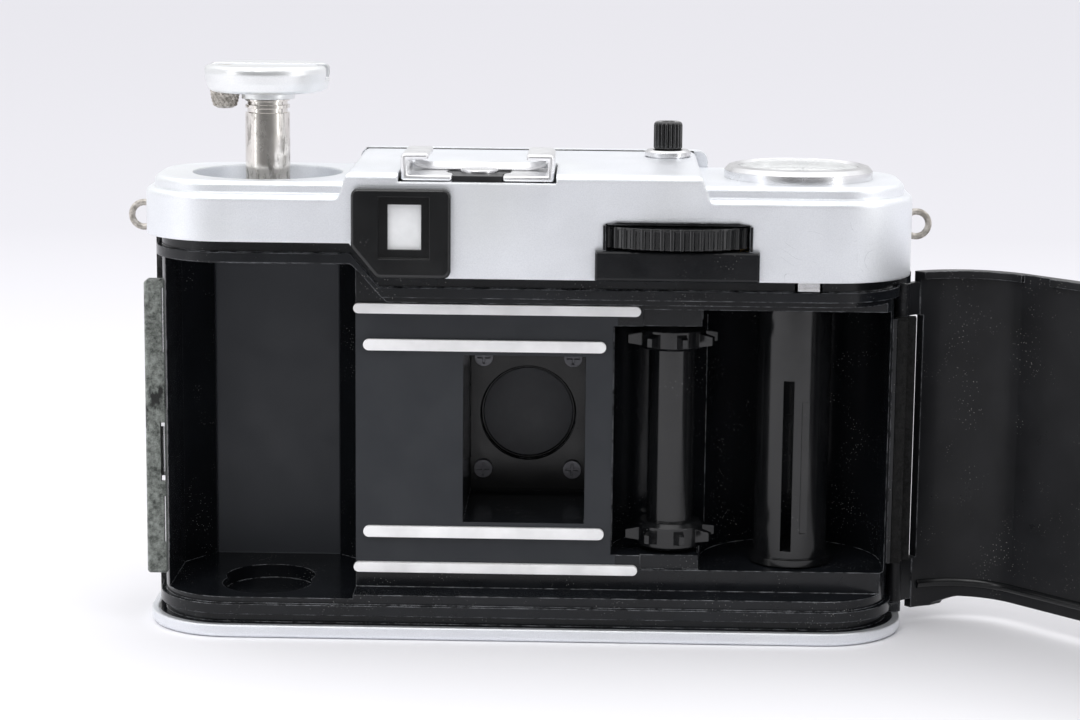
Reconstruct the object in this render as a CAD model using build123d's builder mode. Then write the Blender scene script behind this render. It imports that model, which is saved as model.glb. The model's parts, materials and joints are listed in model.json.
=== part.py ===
from build123d import *
from math import atan2, cos, degrees, radians, sin, sqrt
import os

# Half frame 35 mm camera. Millimetres. X across the body, Y from lens (-Y) to film door (+Y), Z up.
# The origin is the mouth of the tripod bush, on the underside, below the lens.

# Driving dimensions
body_width = 107.5
body_x = -0.2
body_depth = 31.0
corner_radius = 12.0
base_height = 1.85
low_top = 51.3
high_top = 56.0
step_low_x = 20.0
step_high_x = 24.0
front_step_x = 25.1
lens_z = 27.5
film_plane_y = 9.0
gate_width = 17.2
gate_height = 24.0
door_angle = 132.0
rewind_lift = 13.3
skin = 1.2
groove_inset = 2.1
ridge_inset = 1.35
leather_inset = 0.6
leather_thickness = 0.7
fit = 0.05
gap = 0.3

# Axes of the turning parts
rewind_x = 36.85
rewind_y = 0.5
sprocket_x = -20.8
sprocket_y = 3.0
gear_module = 0.5
wind_teeth = 36
spool_teeth = 34
wheel_low = 55.85
wheel_high = 58.75
wheel_radius = 15.4
spool_x = -38.2
spool_y = sprocket_y - sqrt((gear_module * (wind_teeth + spool_teeth) / 2) ** 2 - (spool_x - sprocket_x) ** 2)
counter_x = -38.2
counter_y = 0.0
button_x = -19.9
button_y = -7.5
hinge_x = -53.3
hinge_y = 2.0
shoe_x = 6.5
half_depth = body_depth / 2
left_end = body_x + body_width / 2
right_end = body_x - body_width / 2
lens_axis = Axis((0, 0, lens_z), (0, 1, 0))

# The door is drawn in the closed camera's coordinates, on a plane turned open about the hinge
open_cos = cos(radians(door_angle))
open_sin = sin(radians(door_angle))
door_plane = Plane(
    origin=(
        hinge_x - open_cos * hinge_x + open_sin * hinge_y,
        hinge_y - open_sin * hinge_x - open_cos * hinge_y,
        0,
    ),
    x_dir=(open_cos, open_sin, 0),
    z_dir=(0, 0, 1),
)

os.makedirs("parts", exist_ok=True)


def save(piece, name):
    """Label a finished piece and write it to its own file."""
    piece.part.label = name
    export_step(piece.part, f"parts/{name}.step")


def front_plane(y):
    """Elevation plane at depth y: local x is X, local y is Z, extrusions run towards the lens."""
    return Plane.XZ.offset(-y)


def post(x, y, radius, low, high, mode=Mode.ADD, base=Plane.XY):
    """Upright round bar or hole between two heights."""
    with BuildSketch(base.offset(low)) as profile:
        with Locations((x, y)):
            Circle(radius)
    extrude(profile.sketch, amount=high - low, mode=mode)


def block(x_low, x_high, y_low, y_high, z_low, z_high, mode=Mode.ADD, base=Plane.XY):
    """Straight box between corner coordinates."""
    with BuildSketch(base.offset(z_low)) as profile:
        with Locations(((x_low + x_high) / 2, (y_low + y_high) / 2)):
            Rectangle(x_high - x_low, y_high - y_low)
    extrude(profile.sketch, amount=z_high - z_low, mode=mode)


def outline(inset, low, high, mode=Mode.ADD):
    """Body plan with rounded ends, inset all round, between two heights."""
    with BuildSketch(Plane.XY.offset(low)) as profile:
        with Locations((body_x, 0)):
            RectangleRounded(body_width - 2 * inset, body_depth - 2 * inset, corner_radius - inset)
    extrude(profile.sketch, amount=high - low, mode=mode)


def elevation(points, rear, front, mode=Mode.ADD):
    """Prism with a polygon drawn in elevation, from depth rear to depth front."""
    with BuildSketch(front_plane(rear)) as profile:
        with BuildLine():
            Polyline(*points, close=True)
        make_face()
    extrude(profile.sketch, amount=rear - front, mode=mode)


def plan(points, low, high, mode=Mode.ADD, base=Plane.XY):
    """Prism with a polygon drawn in plan, between two heights."""
    with BuildSketch(base.offset(low)) as profile:
        with BuildLine():
            Polyline(*points, close=True)
        make_face()
    extrude(profile.sketch, amount=high - low, mode=mode)


def lens_turned(points, mode=Mode.ADD):
    """Ring turned about the lens axis from (radius, depth) points."""
    with BuildSketch(Plane.XY.offset(lens_z)) as profile:
        with BuildLine():
            Polyline(*points, close=True)
        make_face()
    revolve(profile.sketch, axis=lens_axis, mode=mode)


def lens_ring(inner, outer, rear, front, mode=Mode.ADD):
    """Plain ring or disc on the lens axis."""
    lens_turned([(inner, rear), (outer, rear), (outer, front), (inner, front)], mode)


def upright_turned(x, y, points, mode=Mode.ADD):
    """Body turned about an upright axis from (radius, height) points."""
    with BuildSketch(front_plane(y)) as profile:
        with BuildLine():
            Polyline(*[(x + radius, height) for radius, height in points], close=True)
        make_face()
    revolve(profile.sketch, axis=Axis((x, y, 0), (0, 0, 1)), mode=mode)


def stepped(left, right, drop=0.0):
    """Edge that runs level over the film path and steps up over the cartridge chamber."""
    return [
        (-60, right - drop),
        (step_low_x, right - drop),
        (step_high_x, left - drop),
        (60, left - drop),
    ]


def stepped_band(low_left, low_right, high_left, high_right):
    """Closed elevation outline between two stepped edges."""
    return stepped(low_left, low_right) + list(reversed(stepped(high_left, high_right)))


def above_step():
    """Cut away what stands above the stepped top edge: sloping at the rear, upright at the front."""
    elevation(
        [(-60, low_top), (step_low_x, low_top), (step_high_x, high_top), (60, high_top), (60, 60), (-60, 60)],
        20,
        0,
        Mode.SUBTRACT,
    )
    elevation(
        [(-60, low_top), (front_step_x, low_top), (front_step_x, high_top), (60, high_top), (60, 60), (-60, 60)],
        0,
        -20,
        Mode.SUBTRACT,
    )


def below_step():
    """Cut away what hangs below the stepped top edge."""
    elevation(
        [(step_low_x, low_top), (step_high_x, high_top), (60, high_top), (60, 50), (step_low_x, 50)],
        20,
        0,
        Mode.SUBTRACT,
    )
    elevation(
        [(front_step_x, low_top), (front_step_x, high_top), (60, high_top), (60, 50), (front_step_x, 50)],
        0,
        -20,
        Mode.SUBTRACT,
    )


def gear_teeth(x, y, teeth, phase, low, high):
    """Spur gear with straight flanked teeth and backlash."""
    pitch_radius = gear_module * teeth / 2
    tip = pitch_radius + 0.8 * gear_module
    root = pitch_radius - 1.15 * gear_module
    points = []
    for number in range(teeth):
        centre = phase + 360 * number / teeth
        for radius, share in ((root, -0.30), (tip, -0.11), (tip, 0.11), (root, 0.30)):
            angle = radians(centre + share * 360 / teeth)
            points.append((x + radius * cos(angle), y + radius * sin(angle)))
    plan(points, low, high)


# ---------------------------------------------------------------- chassis

ridge_low = (3.1, 4.55)
top_ridge_left = (52.98, 54.37)
top_ridge_right = (48.37, 49.76)
chamber_floor = 5.4
chamber_top = 52.8
spool_floor = 9.0
spool_top = 46.3
recess_low = 11.05
recess_top = 43.9
plate_y = 8.4
plate_left = 23.75
plate_right = -12.4
front_wall_y = -13.0
chassis_bottom = 0.8
strip_heights = (9.5, 44.8)

with BuildPart() as ridges:
    outline(ridge_inset, top_ridge_right[0], high_top)
    block(-60, 60, -20, 0, 0, 60, Mode.SUBTRACT)
    elevation(
        stepped_band(top_ridge_left[0], top_ridge_right[0], top_ridge_left[1], top_ridge_right[1]),
        half_depth,
        -half_depth,
        Mode.INTERSECT,
    )

with BuildPart() as front_core:
    outline(leather_inset + leather_thickness, chassis_bottom, high_top)
    block(-60, 60, 0, 20, 0, 60, Mode.SUBTRACT)

with BuildPart() as chassis:
    outline(groove_inset, chassis_bottom, high_top)
    outline(ridge_inset, *ridge_low)
    add(front_core.part)
    outline(1.0, chassis_bottom, base_height)
    above_step()
    add(ridges.part)
    # cartridge chamber, open at the rear
    plan(
        [
            (plate_left, -8.5),
            (28.2, front_wall_y),
            (46.4, front_wall_y),
            (50.4, -6.5),
            (50.4, 16),
            (plate_left, 16),
        ],
        chamber_floor,
        chamber_top,
        Mode.SUBTRACT,
    )
    post(rewind_x, rewind_y, 6.4, 3.4, chamber_floor, Mode.SUBTRACT)
    post(rewind_x, rewind_y + 4.2, 6.4, 3.4, chamber_floor, Mode.SUBTRACT)
    post(rewind_x, rewind_y, 4.3, chamber_top, high_top, Mode.SUBTRACT)
    # film path in front of the pressure plate
    elevation(
        [
            (-51.2, 5.95),
            (plate_left, 5.95),
            (plate_left, chamber_top),
            (step_high_x - 1.5, chamber_top - 1.2),
            (step_low_x - 1.0, 47.6),
            (-51.2, 47.6),
        ],
        16,
        plate_y,
        Mode.SUBTRACT,
    )
    # sprocket recess and spool chamber, inside a shallow step
    block(-51.3, -16.6, plate_y - 0.6, 10, spool_floor, spool_top, Mode.SUBTRACT)
    post(sprocket_x, sprocket_y, 8.2, recess_low, recess_top, Mode.SUBTRACT)
    block(sprocket_x - 8.2, plate_right, sprocket_y, 10, recess_low, recess_top, Mode.SUBTRACT)
    post(spool_x, spool_y, 13.0, spool_floor, spool_top, Mode.SUBTRACT)
    block(spool_x - 13.0, sprocket_x - 4.0, spool_y, 10, spool_floor, spool_top, Mode.SUBTRACT)
    # film gate and light tunnel
    block(
        -gate_width / 2,
        gate_width / 2,
        front_wall_y,
        plate_y + 1,
        lens_z - gate_height / 2,
        lens_z + gate_height / 2,
        Mode.SUBTRACT,
    )
    # cavities round the light tunnel, open to the front
    block(10.2, 21.8, -20, 6.6, 7.5, 49.0, Mode.SUBTRACT)
    block(-10.2, 10.2, -20, 6.6, 41.2, 49.0, Mode.SUBTRACT)
    block(-10.2, 10.2, -20, 6.6, 8.0, 13.8, Mode.SUBTRACT)
    lens_ring(0, 19.3, front_wall_y, -16, Mode.SUBTRACT)
    # shaft bearings
    post(sprocket_x, sprocket_y, 1.5 + fit, 8.0, 52, Mode.SUBTRACT)
    post(spool_x, spool_y, 1.5 + fit, 7.0, 52, Mode.SUBTRACT)
    # tripod bush and rewind release pockets
    post(0, 0, 5.5, 0.5, 6.5, Mode.SUBTRACT)
    post(sprocket_x, sprocket_y, 3.2, 0.5, 5.0, Mode.SUBTRACT)
    for screw_x, screw_y in ((-44.0, 0.0), (44.0, 0.0), (14.0, -9.0)):
        post(screw_x, screw_y, 0.9, 0.5, 3.4, Mode.SUBTRACT)
    # relief for the hinge ears and the door edge
    block(-56, -52.2, 0.0, 3.4, base_height + 0.1, 60, Mode.SUBTRACT)
    # slot for the counter reset tab
    block(-41.0, -37.2, 7.9, 15, 49.76, 52, Mode.SUBTRACT)
    # fixed hinge ears, above and below the door's own
    for ear_low, ear_high in ((base_height + 0.1, 3.2), (49.7, low_top)):
        block(hinge_x, -51.0, hinge_y - 1.0, hinge_y + 1.0, ear_low, ear_high)
        post(hinge_x, hinge_y, 1.0, ear_low, ear_high)
    # fixed hinge strip between the door's ears, closing the end of the body
    block(-53.85, -51.8, 0.1, 4.6, *strip_heights)
    block(-55.25, -53.85, 1.0, 2.6, *strip_heights)
    post(hinge_x, hinge_y, 0.5, 1, 60, Mode.SUBTRACT)
save(chassis, "chassis")

# ---------------------------------------------------------------- film rails

inner_rails = ((13.3, 14.9), (40.1, 41.7))
outer_rails = ((8.24, 9.64), (45.36, 46.78))

with BuildPart() as film_rails:
    for pairs, x_low, x_high, rear in (
        (inner_rails, -11.4, 22.65, film_plane_y),
        (outer_rails, -16.2, 24.0, film_plane_y + 0.2),
    ):
        for z_low, z_high in pairs:
            with BuildSketch(front_plane(rear)) as rail_face:
                with Locations(((x_low + x_high) / 2, (z_low + z_high) / 2)):
                    SlotOverall(x_high - x_low, z_high - z_low)
            extrude(rail_face.sketch, amount=rear - plate_y)
save(film_rails, "film_rails")

# ---------------------------------------------------------------- base

with BuildPart() as base_cover:
    outline(0, 0, base_height)
    fillet(base_cover.faces().sort_by(Axis.Z)[0].edges(), 0.7)
    outline(1.0, chassis_bottom, base_height, Mode.SUBTRACT)
    post(0, 0, 5.5, -1, 1, Mode.SUBTRACT)
    post(sprocket_x, sprocket_y, 3.1, -1, 1, Mode.SUBTRACT)
    for screw_x, screw_y in ((-44.0, 0.0), (44.0, 0.0), (14.0, -9.0)):
        upright_turned(screw_x, screw_y, [(0, -0.1), (1.7, -0.1), (1.7, 0.1), (0.9, 0.8), (0, 0.8)], Mode.SUBTRACT)
save(base_cover, "base_cover")

with BuildPart() as base_screws:
    for screw_x, screw_y in ((-44.0, 0.0), (44.0, 0.0), (14.0, -9.0)):
        upright_turned(
            screw_x,
            screw_y,
            [(0, 0.1), (1.7, 0.1), (0.9, 0.8), (0.9, 3.4), (0, 3.4)],
        )
        block(screw_x - 1.1, screw_x + 1.1, screw_y - 0.2, screw_y + 0.2, 0, 0.45, Mode.SUBTRACT)
        block(screw_x - 0.2, screw_x + 0.2, screw_y - 1.1, screw_y + 1.1, 0, 0.45, Mode.SUBTRACT)
save(base_screws, "base_screws")

tripod_radius = 2.6
tripod_length = 4.8
with BuildPart() as tripod_bush:
    post(0, 0, 5.5, 0, 6.5)
    post(0, 0, tripod_radius, 0, tripod_length, Mode.SUBTRACT)
save(tripod_bush, "tripod_bush")

with BuildPart() as rewind_release_button:
    post(sprocket_x, sprocket_y, 2.9, 0.2, 2.4)
    fillet(rewind_release_button.faces().sort_by(Axis.Z)[0].edges(), 0.4)
save(rewind_release_button, "rewind_release_button")

# ---------------------------------------------------------------- top cover

wall = 1.0
ledge_z = 62.5
platform_z = 64.2
platform_inset = 2.1
platform_end_inset = 1.2
centre_left = 24.8
centre_right = -24.6
centre_rear_z = 65.7
centre_front_z = 66.4
bezel_left = 25.0
bezel_right = -26.0
bezel_back_y = -12.9
well_radius = 10.6
well_floor = 59.0
shoe_floor = 64.5


def raised_plan(inset, low, high, mode=Mode.ADD):
    """Plan of the platform that stands on the top cover's ledge."""
    with BuildSketch(Plane.XY.offset(low)) as profile:
        with Locations((body_x, 0)):
            RectangleRounded(
                body_width - 2 * (platform_end_inset + inset),
                body_depth - 2 * (platform_inset + inset),
                corner_radius - platform_inset - inset,
            )
    extrude(profile.sketch, amount=high - low, mode=mode)


def beyond_end(end_x, side, inset):
    """Elevation of what is cut away beyond one end of the raised middle, leaving a hollow foot."""
    foot = ledge_z - 0.8
    return [
        (end_x + side * (2.0 - inset), foot),
        (end_x + side * (1.3 - inset), foot + 0.15),
        (end_x + side * (0.8 - inset), foot + 0.45),
        (end_x + side * (0.5 - inset), foot + 0.9),
        (end_x - side * (1.8 + inset), 70),
        (end_x + side * 5, 70),
        (end_x + side * 5, foot),
    ]


def centre_block(inset, mode=Mode.ADD):
    """Raised middle of the top cover, its roof rising towards the front and its ends sloping."""
    with BuildPart(mode=Mode.PRIVATE) as middle:
        with BuildSketch(Plane.YZ.offset(centre_right - 2.0 + inset)) as side:
            with BuildLine():
                Polyline(
                    (half_depth - inset, low_top),
                    (half_depth - inset, centre_rear_z - inset),
                    (bezel_back_y + inset, centre_front_z - inset),
                    (bezel_back_y + inset, low_top),
                    close=True,
                )
            make_face()
        extrude(side.sketch, amount=centre_left - centre_right + 4.0 - 2 * inset)
        elevation(beyond_end(centre_right, -1, inset), 20, -20, Mode.SUBTRACT)
        elevation(beyond_end(centre_left, 1, inset), 20, -20, Mode.SUBTRACT)
        if inset == 0:
            roof_edges = middle.faces().sort_by(Axis.Z)[-1].edges()
            fillet(roof_edges.filter_by(lambda edge: edge.center().Y > bezel_back_y + 1), 0.9)
    add(middle.part, mode=mode)


with BuildPart() as top_cover:
    outline(0, low_top, ledge_z)
    fillet(top_cover.faces().sort_by(Axis.Z)[-1].edges(), 0.8)
    with BuildPart(mode=Mode.PRIVATE) as platform:
        raised_plan(0, ledge_z - 1, platform_z)
        fillet(platform.faces().sort_by(Axis.Z)[-1].edges(), 0.8)
    add(platform.part)
    centre_block(0)
    # hollow inside
    outline(wall, low_top - 1, ledge_z - wall, Mode.SUBTRACT)
    raised_plan(wall, low_top - 1, platform_z - wall, Mode.SUBTRACT)
    centre_block(wall, Mode.SUBTRACT)
    below_step()
    # recess for the front bezel, closed behind by a wall
    block(bezel_right, bezel_left, -20, bezel_back_y, low_top - 1, 70, Mode.SUBTRACT)
    block(bezel_right - 0.8, bezel_left + 0.8, bezel_back_y, bezel_back_y + wall, high_top, platform_z - 0.5)
    block(bezel_right - 0.8, bezel_left, bezel_back_y, bezel_back_y + wall, low_top, high_top)
    for side_low in (bezel_right - 0.8, bezel_left):
        block(side_low, side_low + 0.8, -14.9, bezel_back_y, high_top, ledge_z - 0.5)
    # rewind well
    post(rewind_x, rewind_y, well_radius + wall, well_floor - wall, platform_z - 0.5)
    post(rewind_x, rewind_y, well_radius, well_floor, 70, Mode.SUBTRACT)
    post(rewind_x, rewind_y, 4.3, 50, 70, Mode.SUBTRACT)
    # slot for the thumbwheel, and room for its front edge
    block(sprocket_x - 10.05, sprocket_x + 9.75, 10, 20, 55.4, 59.15, Mode.SUBTRACT)
    post(sprocket_x, sprocket_y, wheel_radius + gap, 55.4, 59.15, Mode.SUBTRACT)
    # openings: eyepiece, front window, counter, button, contact
    block(11.5, 21.3, 12, 20, 53.4, 62.9, Mode.SUBTRACT)
    block(11.5, 21.3, -20, -10, 53.4, 62.9, Mode.SUBTRACT)
    post(counter_x, counter_y, 1.0 + fit, 60, 70, Mode.SUBTRACT)
    post(button_x, button_y, 2.9, 60, 70, Mode.SUBTRACT)
    # flat seat for the accessory shoe, open to the rear
    block(shoe_x - 10.8, shoe_x + 10.8, 2.6, 20, shoe_floor, 70, Mode.SUBTRACT)
    post(shoe_x, 8.5, 2.7, 60, 70, Mode.SUBTRACT)
save(top_cover, "top_cover")

with BuildPart() as bezel_gasket:
    block(bezel_right + 0.2, bezel_left - 0.2, bezel_back_y - 0.5, bezel_back_y, low_top + 0.2, centre_front_z + 0.1)
    block(11.5, 21.3, -20, 0, 53.4, 62.9, Mode.SUBTRACT)
save(bezel_gasket, "bezel_gasket")

bezel_top = 66.7
with BuildPart() as front_bezel:
    with BuildSketch(front_plane(bezel_back_y - 0.5)) as bezel_face:
        with Locations(((bezel_left + bezel_right) / 2, (low_top + bezel_top) / 2)):
            RectangleRounded(bezel_left - bezel_right - 0.2, bezel_top - low_top - 0.2, 1.6)
    extrude(bezel_face.sketch, amount=half_depth + bezel_back_y - 0.5)
    fillet(front_bezel.faces().sort_by(Axis.Y)[0].edges(), 0.6)
    block(10.4, 22.4, -20, -14.4, 53.6, 62.8, Mode.SUBTRACT)
    block(11.5, 21.3, -20, 0, 54.4, 62.0, Mode.SUBTRACT)
save(front_bezel, "front_bezel")

with BuildPart() as viewfinder_window:
    block(10.5, 22.3, -15.2, -14.4, 53.7, 62.7)
save(viewfinder_window, "viewfinder_window")

with BuildPart() as viewfinder_tube:
    block(12.3, 20.5, -11.8, 14.3, 53.8, 62.6)
    block(13.1, 19.7, -12, 15, 54.6, 61.8, Mode.SUBTRACT)
save(viewfinder_tube, "viewfinder_tube")

with BuildPart() as eyepiece_frame:
    elevation([(9.98, 51.4), (20.1, 51.4), (23.63, 55.65), (23.63, 63.7), (9.98, 63.7)], 17.0, half_depth)
    fillet(eyepiece_frame.edges().filter_by(Axis.Y), 1.1)
    fillet(eyepiece_frame.faces().sort_by(Axis.Y)[-1].edges(), 0.5)
    block(11.6, 21.2, 14.5, half_depth, 53.5, 62.8)
    block(14.07, 18.66, 10, 20, 55.25, 61.45, Mode.SUBTRACT)
    block(12.9, 19.9, 15.9, 20, 54.1, 62.6, Mode.SUBTRACT)
    block(13.2, 19.6, 10, 15.3, 54.7, 62.0, Mode.SUBTRACT)
save(eyepiece_frame, "eyepiece_frame")

with BuildPart() as eyepiece_lens:
    block(13.3, 19.5, 14.5, 15.2, 54.8, 61.9)
save(eyepiece_lens, "eyepiece_lens")

with BuildPart() as meter_housing:
    block(-4.0, 8.5, -11.5, 0.5, 52.0, 61.5)
    fillet(meter_housing.edges().filter_by(Axis.Z), 1.5)
save(meter_housing, "meter_housing")

# ---------------------------------------------------------------- accessory shoe

shoe_half = 10.5
shoe_front = 3.0
shoe_rear = 14.5
shoe_sheet = 0.9
lip_top = 68.35
lip_width = 3.8
contact_y = 8.5

with BuildPart() as accessory_shoe:
    block(shoe_x - shoe_half, shoe_x + shoe_half, shoe_front, shoe_rear, shoe_floor, lip_top)
    fillet(accessory_shoe.edges().filter_by(Axis.Y).group_by(Axis.Z)[-1], 0.7)
    block(
        shoe_x - shoe_half + shoe_sheet,
        shoe_x + shoe_half - shoe_sheet,
        0,
        20,
        shoe_floor + shoe_sheet,
        lip_top - shoe_sheet,
        Mode.SUBTRACT,
    )
    block(shoe_x - shoe_half + lip_width, shoe_x + shoe_half - lip_width, 0, 20, 66, 70, Mode.SUBTRACT)
    post(shoe_x, contact_y, 4.35, 60, 66, Mode.SUBTRACT)
    block(shoe_x - 3.45, shoe_x + 3.45, contact_y, 20, 60, 66, Mode.SUBTRACT)
save(accessory_shoe, "accessory_shoe")

with BuildPart() as shoe_insulator:
    post(shoe_x, contact_y, 4.3, shoe_floor, shoe_floor + 0.8)
    block(shoe_x - 3.4, shoe_x + 3.4, contact_y, shoe_rear - 0.2, shoe_floor, shoe_floor + 0.8)
    post(shoe_x, contact_y, 2.65, 60, 66, Mode.SUBTRACT)
save(shoe_insulator, "shoe_insulator")

with BuildPart() as shoe_contact:
    post(shoe_x, contact_y, 2.6, 64.0, shoe_floor + 1.3)
    fillet(shoe_contact.faces().sort_by(Axis.Z)[-1].edges(), 0.3)
save(shoe_contact, "shoe_contact")

# ---------------------------------------------------------------- front covering and lens

with BuildPart() as leatherette:
    outline(leather_inset, base_height, high_top)
    outline(leather_inset + leather_thickness, base_height, high_top, Mode.SUBTRACT)
    block(-60, 60, 0, 20, 0, 60, Mode.SUBTRACT)
    above_step()
    lens_ring(0, 23.5, 0, -20, Mode.SUBTRACT)
save(leatherette, "leatherette")

lens_seat_y = -half_depth + leather_inset + leather_thickness
housing_radius = 19.2

with BuildPart() as lens_mount_plate:
    block(-8.5, 8.5, front_wall_y, front_wall_y + 1.0, 16.0, 39.0)
    lens_ring(0, 7.1, 0, -20, Mode.SUBTRACT)
    for screw_x in (-6.6, 6.6):
        for screw_z in (19.1, 35.9):
            with BuildSketch(front_plane(0)) as hole_face:
                with Locations((screw_x, screw_z)):
                    Circle(0.7)
            extrude(hole_face.sketch, amount=20, mode=Mode.SUBTRACT)
save(lens_mount_plate, "lens_mount_plate")

with BuildPart() as lens_plate_screws:
    for screw_x in (-6.6, 6.6):
        for screw_z in (19.1, 35.9):
            for radius, rear, front in ((1.35, -11.3, -12.0), (0.7, -12.0, -13.0)):
                with BuildSketch(front_plane(rear)) as screw_face:
                    with Locations((screw_x, screw_z)):
                        Circle(radius)
                extrude(screw_face.sketch, amount=rear - front)
            for width, height in ((1.9, 0.35), (0.35, 1.9)):
                with BuildSketch(front_plane(-11.3)) as cross_face:
                    with Locations((screw_x, screw_z)):
                        Rectangle(width, height)
                extrude(cross_face.sketch, amount=0.35, mode=Mode.SUBTRACT)
save(lens_plate_screws, "lens_plate_screws")

with BuildPart() as rear_lens:
    lens_turned([(0, -12.2), (4.0, -12.4), (7.0, -13.1), (7.0, -14.6), (0, -14.6)])
save(rear_lens, "rear_lens")

with BuildPart() as shutter_housing:
    lens_ring(7.05, housing_radius, front_wall_y, -21.6)
    lens_ring(0, 14.0, -15.2, -17.4, Mode.SUBTRACT)
save(shutter_housing, "shutter_housing")

blade_pivot = 10.5
for side, name, rear in ((1, "shutter_blade_left", -15.6), (-1, "shutter_blade_right", -16.4)):
    with BuildPart() as blade:
        with BuildSketch(front_plane(rear)) as blade_face:
            with Locations((0, lens_z + side * 2.6)):
                Rectangle(18.0, 10.4)
            with Locations((side * blade_pivot, lens_z)):
                Circle(1.6)
            with Locations((side * blade_pivot, lens_z)):
                Circle(0.55, mode=Mode.SUBTRACT)
        extrude(blade_face.sketch, amount=0.3)
        lens_ring(0, 12.4, 0, -20, Mode.INTERSECT)
    save(blade, name)

with BuildPart() as lens_base_ring:
    lens_ring(19.3, 23.4, lens_seat_y, lens_seat_y - 2.2)
    fillet(lens_base_ring.faces().sort_by(Axis.Y)[0].edges().sort_by(SortBy.RADIUS)[-1], 0.5)
save(lens_base_ring, "lens_base_ring")

aperture_rear = lens_seat_y - 2.5
speed_rear = aperture_rear - 3.4
barrel_rear = speed_rear - 3.0
barrel_front = -27.0
thread_radius = 21.4
thread_end = -25.2
thread_relief = 0.4

with BuildPart() as aperture_ring:
    with BuildSketch(front_plane(aperture_rear)) as aperture_face:
        with Locations((0, lens_z)):
            Circle(22.7)
        for start in (20, 200):
            with Locations((0, lens_z)):
                with PolarLocations(22.6, 9, start_angle=start, angular_range=45):
                    Circle(0.6)
        with Locations((0, lens_z)):
            Circle(19.3, mode=Mode.SUBTRACT)
    extrude(aperture_face.sketch, amount=3.2)
save(aperture_ring, "aperture_ring")

with BuildPart() as film_speed_ring:
    with BuildSketch(front_plane(speed_rear)) as speed_face:
        with Locations((0, lens_z)):
            Circle(22.3)
            with PolarLocations(22.2, 72):
                Circle(0.35)
            Circle(19.3, mode=Mode.SUBTRACT)
    extrude(speed_face.sketch, amount=2.8)
save(film_speed_ring, "film_speed_ring")

with BuildPart() as lens_barrel:
    lens_turned(
        [
            (7.5, -21.6),
            (19.2, -21.6),
            (19.2, barrel_rear),
            (22.4, barrel_rear),
            (22.4, barrel_front + 0.4),
            (22.0, barrel_front),
            (thread_radius, barrel_front),
            (thread_radius, thread_end),
            (thread_radius + thread_relief, thread_end),
            (thread_radius + thread_relief, -24.0),
            (12.4, -24.0),
            (12.4, -23.2),
            (7.5, -23.2),
        ]
    )
save(lens_barrel, "lens_barrel")

with BuildPart() as selenium_cell:
    lens_ring(12.6, 21.2, -24.0, -24.2)
save(selenium_cell, "selenium_cell")

with BuildPart() as selenium_window:
    lens_ring(12.6, 21.3, -24.2, -24.5)
save(selenium_window, "selenium_window")

with BuildPart() as name_ring:
    lens_turned([(6.5, -23.2), (12.4, -23.2), (12.4, -24.45), (11.0, -24.45), (6.9, -23.6)])
save(name_ring, "name_ring")

with BuildPart() as front_lens:
    lens_turned([(0, -21.0), (6.4, -21.0), (6.4, -23.3), (4.0, -24.0), (0, -24.3)])
save(front_lens, "front_lens")

# ---------------------------------------------------------------- film transport

tooth_rows = ((13.4, 11.5, 15.3), (41.6, 40.2, 43.5))
sprocket_bottom = 11.3
sprocket_top = 43.7
gear_low = 52.0
gear_high = 54.6
wheel_ribs = 70

with BuildPart() as sprocket:
    post(sprocket_x, sprocket_y, 1.5, 8.3, gear_high)
    post(sprocket_x, sprocket_y, 3.3, sprocket_bottom, sprocket_top)
    for row, flange_low, flange_high in tooth_rows:
        upright_turned(
            sprocket_x,
            sprocket_y,
            [
                (0, flange_low),
                (4.3, flange_low),
                (4.75, flange_low + 0.4),
                (4.75, flange_high - 0.6),
                (4.2, flange_high),
                (0, flange_high),
            ],
        )
        for number in range(8):
            angle = radians(14.5 + 45 * number)
            along = (cos(angle), sin(angle))
            tooth_plane = Plane(
                origin=(sprocket_x + 4.4 * along[0], sprocket_y + 4.4 * along[1], row),
                z_dir=(along[0], along[1], 0),
                x_dir=(0, 0, 1),
            )
            with BuildSketch(tooth_plane) as tooth_face:
                Rectangle(2.0, 1.5)
            extrude(tooth_face.sketch, amount=2.2, taper=10)
save(sprocket, "sprocket")

# a wheel tooth lies on the line between the two axes, in a gap of the other gear
mesh_angle = degrees(atan2(spool_y - sprocket_y, spool_x - sprocket_x))

with BuildPart() as wind_gear:
    gear_teeth(sprocket_x, sprocket_y, wind_teeth, mesh_angle, gear_low, gear_high)
    post(sprocket_x, sprocket_y, 1.5, gear_low, gear_high, Mode.SUBTRACT)
save(wind_gear, "wind_gear")

with BuildPart() as thumbwheel:
    with BuildSketch(Plane.XY.offset(wheel_low)) as wheel_face:
        with Locations((sprocket_x, sprocket_y)):
            Circle(wheel_radius - 0.35)
            with PolarLocations(wheel_radius - 0.45, wheel_ribs):
                Circle(0.45)
    extrude(wheel_face.sketch, amount=wheel_high - wheel_low)
    post(sprocket_x, sprocket_y, wheel_radius - 0.15, wheel_high - 0.35, wheel_high)
    post(sprocket_x, sprocket_y, 3.0, gear_high, wheel_low)
    post(sprocket_x, sprocket_y, 10.5, wheel_high - 1.2, wheel_high, Mode.SUBTRACT)
save(thumbwheel, "thumbwheel")

spool_radius = 5.25

with BuildPart() as spool:
    post(spool_x, spool_y, 1.5, 7.3, gear_high)
    post(spool_x, spool_y, 5.9, spool_floor + 0.2, spool_floor + 1.2)
    post(spool_x, spool_y, spool_radius, spool_floor + 1.2, spool_top - 0.2)
    block(spool_x + 0.2, spool_x + 1.7, spool_y - 8, spool_y + 8, 11.4, 36.0, Mode.SUBTRACT)
    block(spool_x - 4.5, spool_x - 1.0, spool_y + 4.85, spool_y + 8, 14.0, 33.0, Mode.SUBTRACT)
save(spool, "spool")


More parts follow.
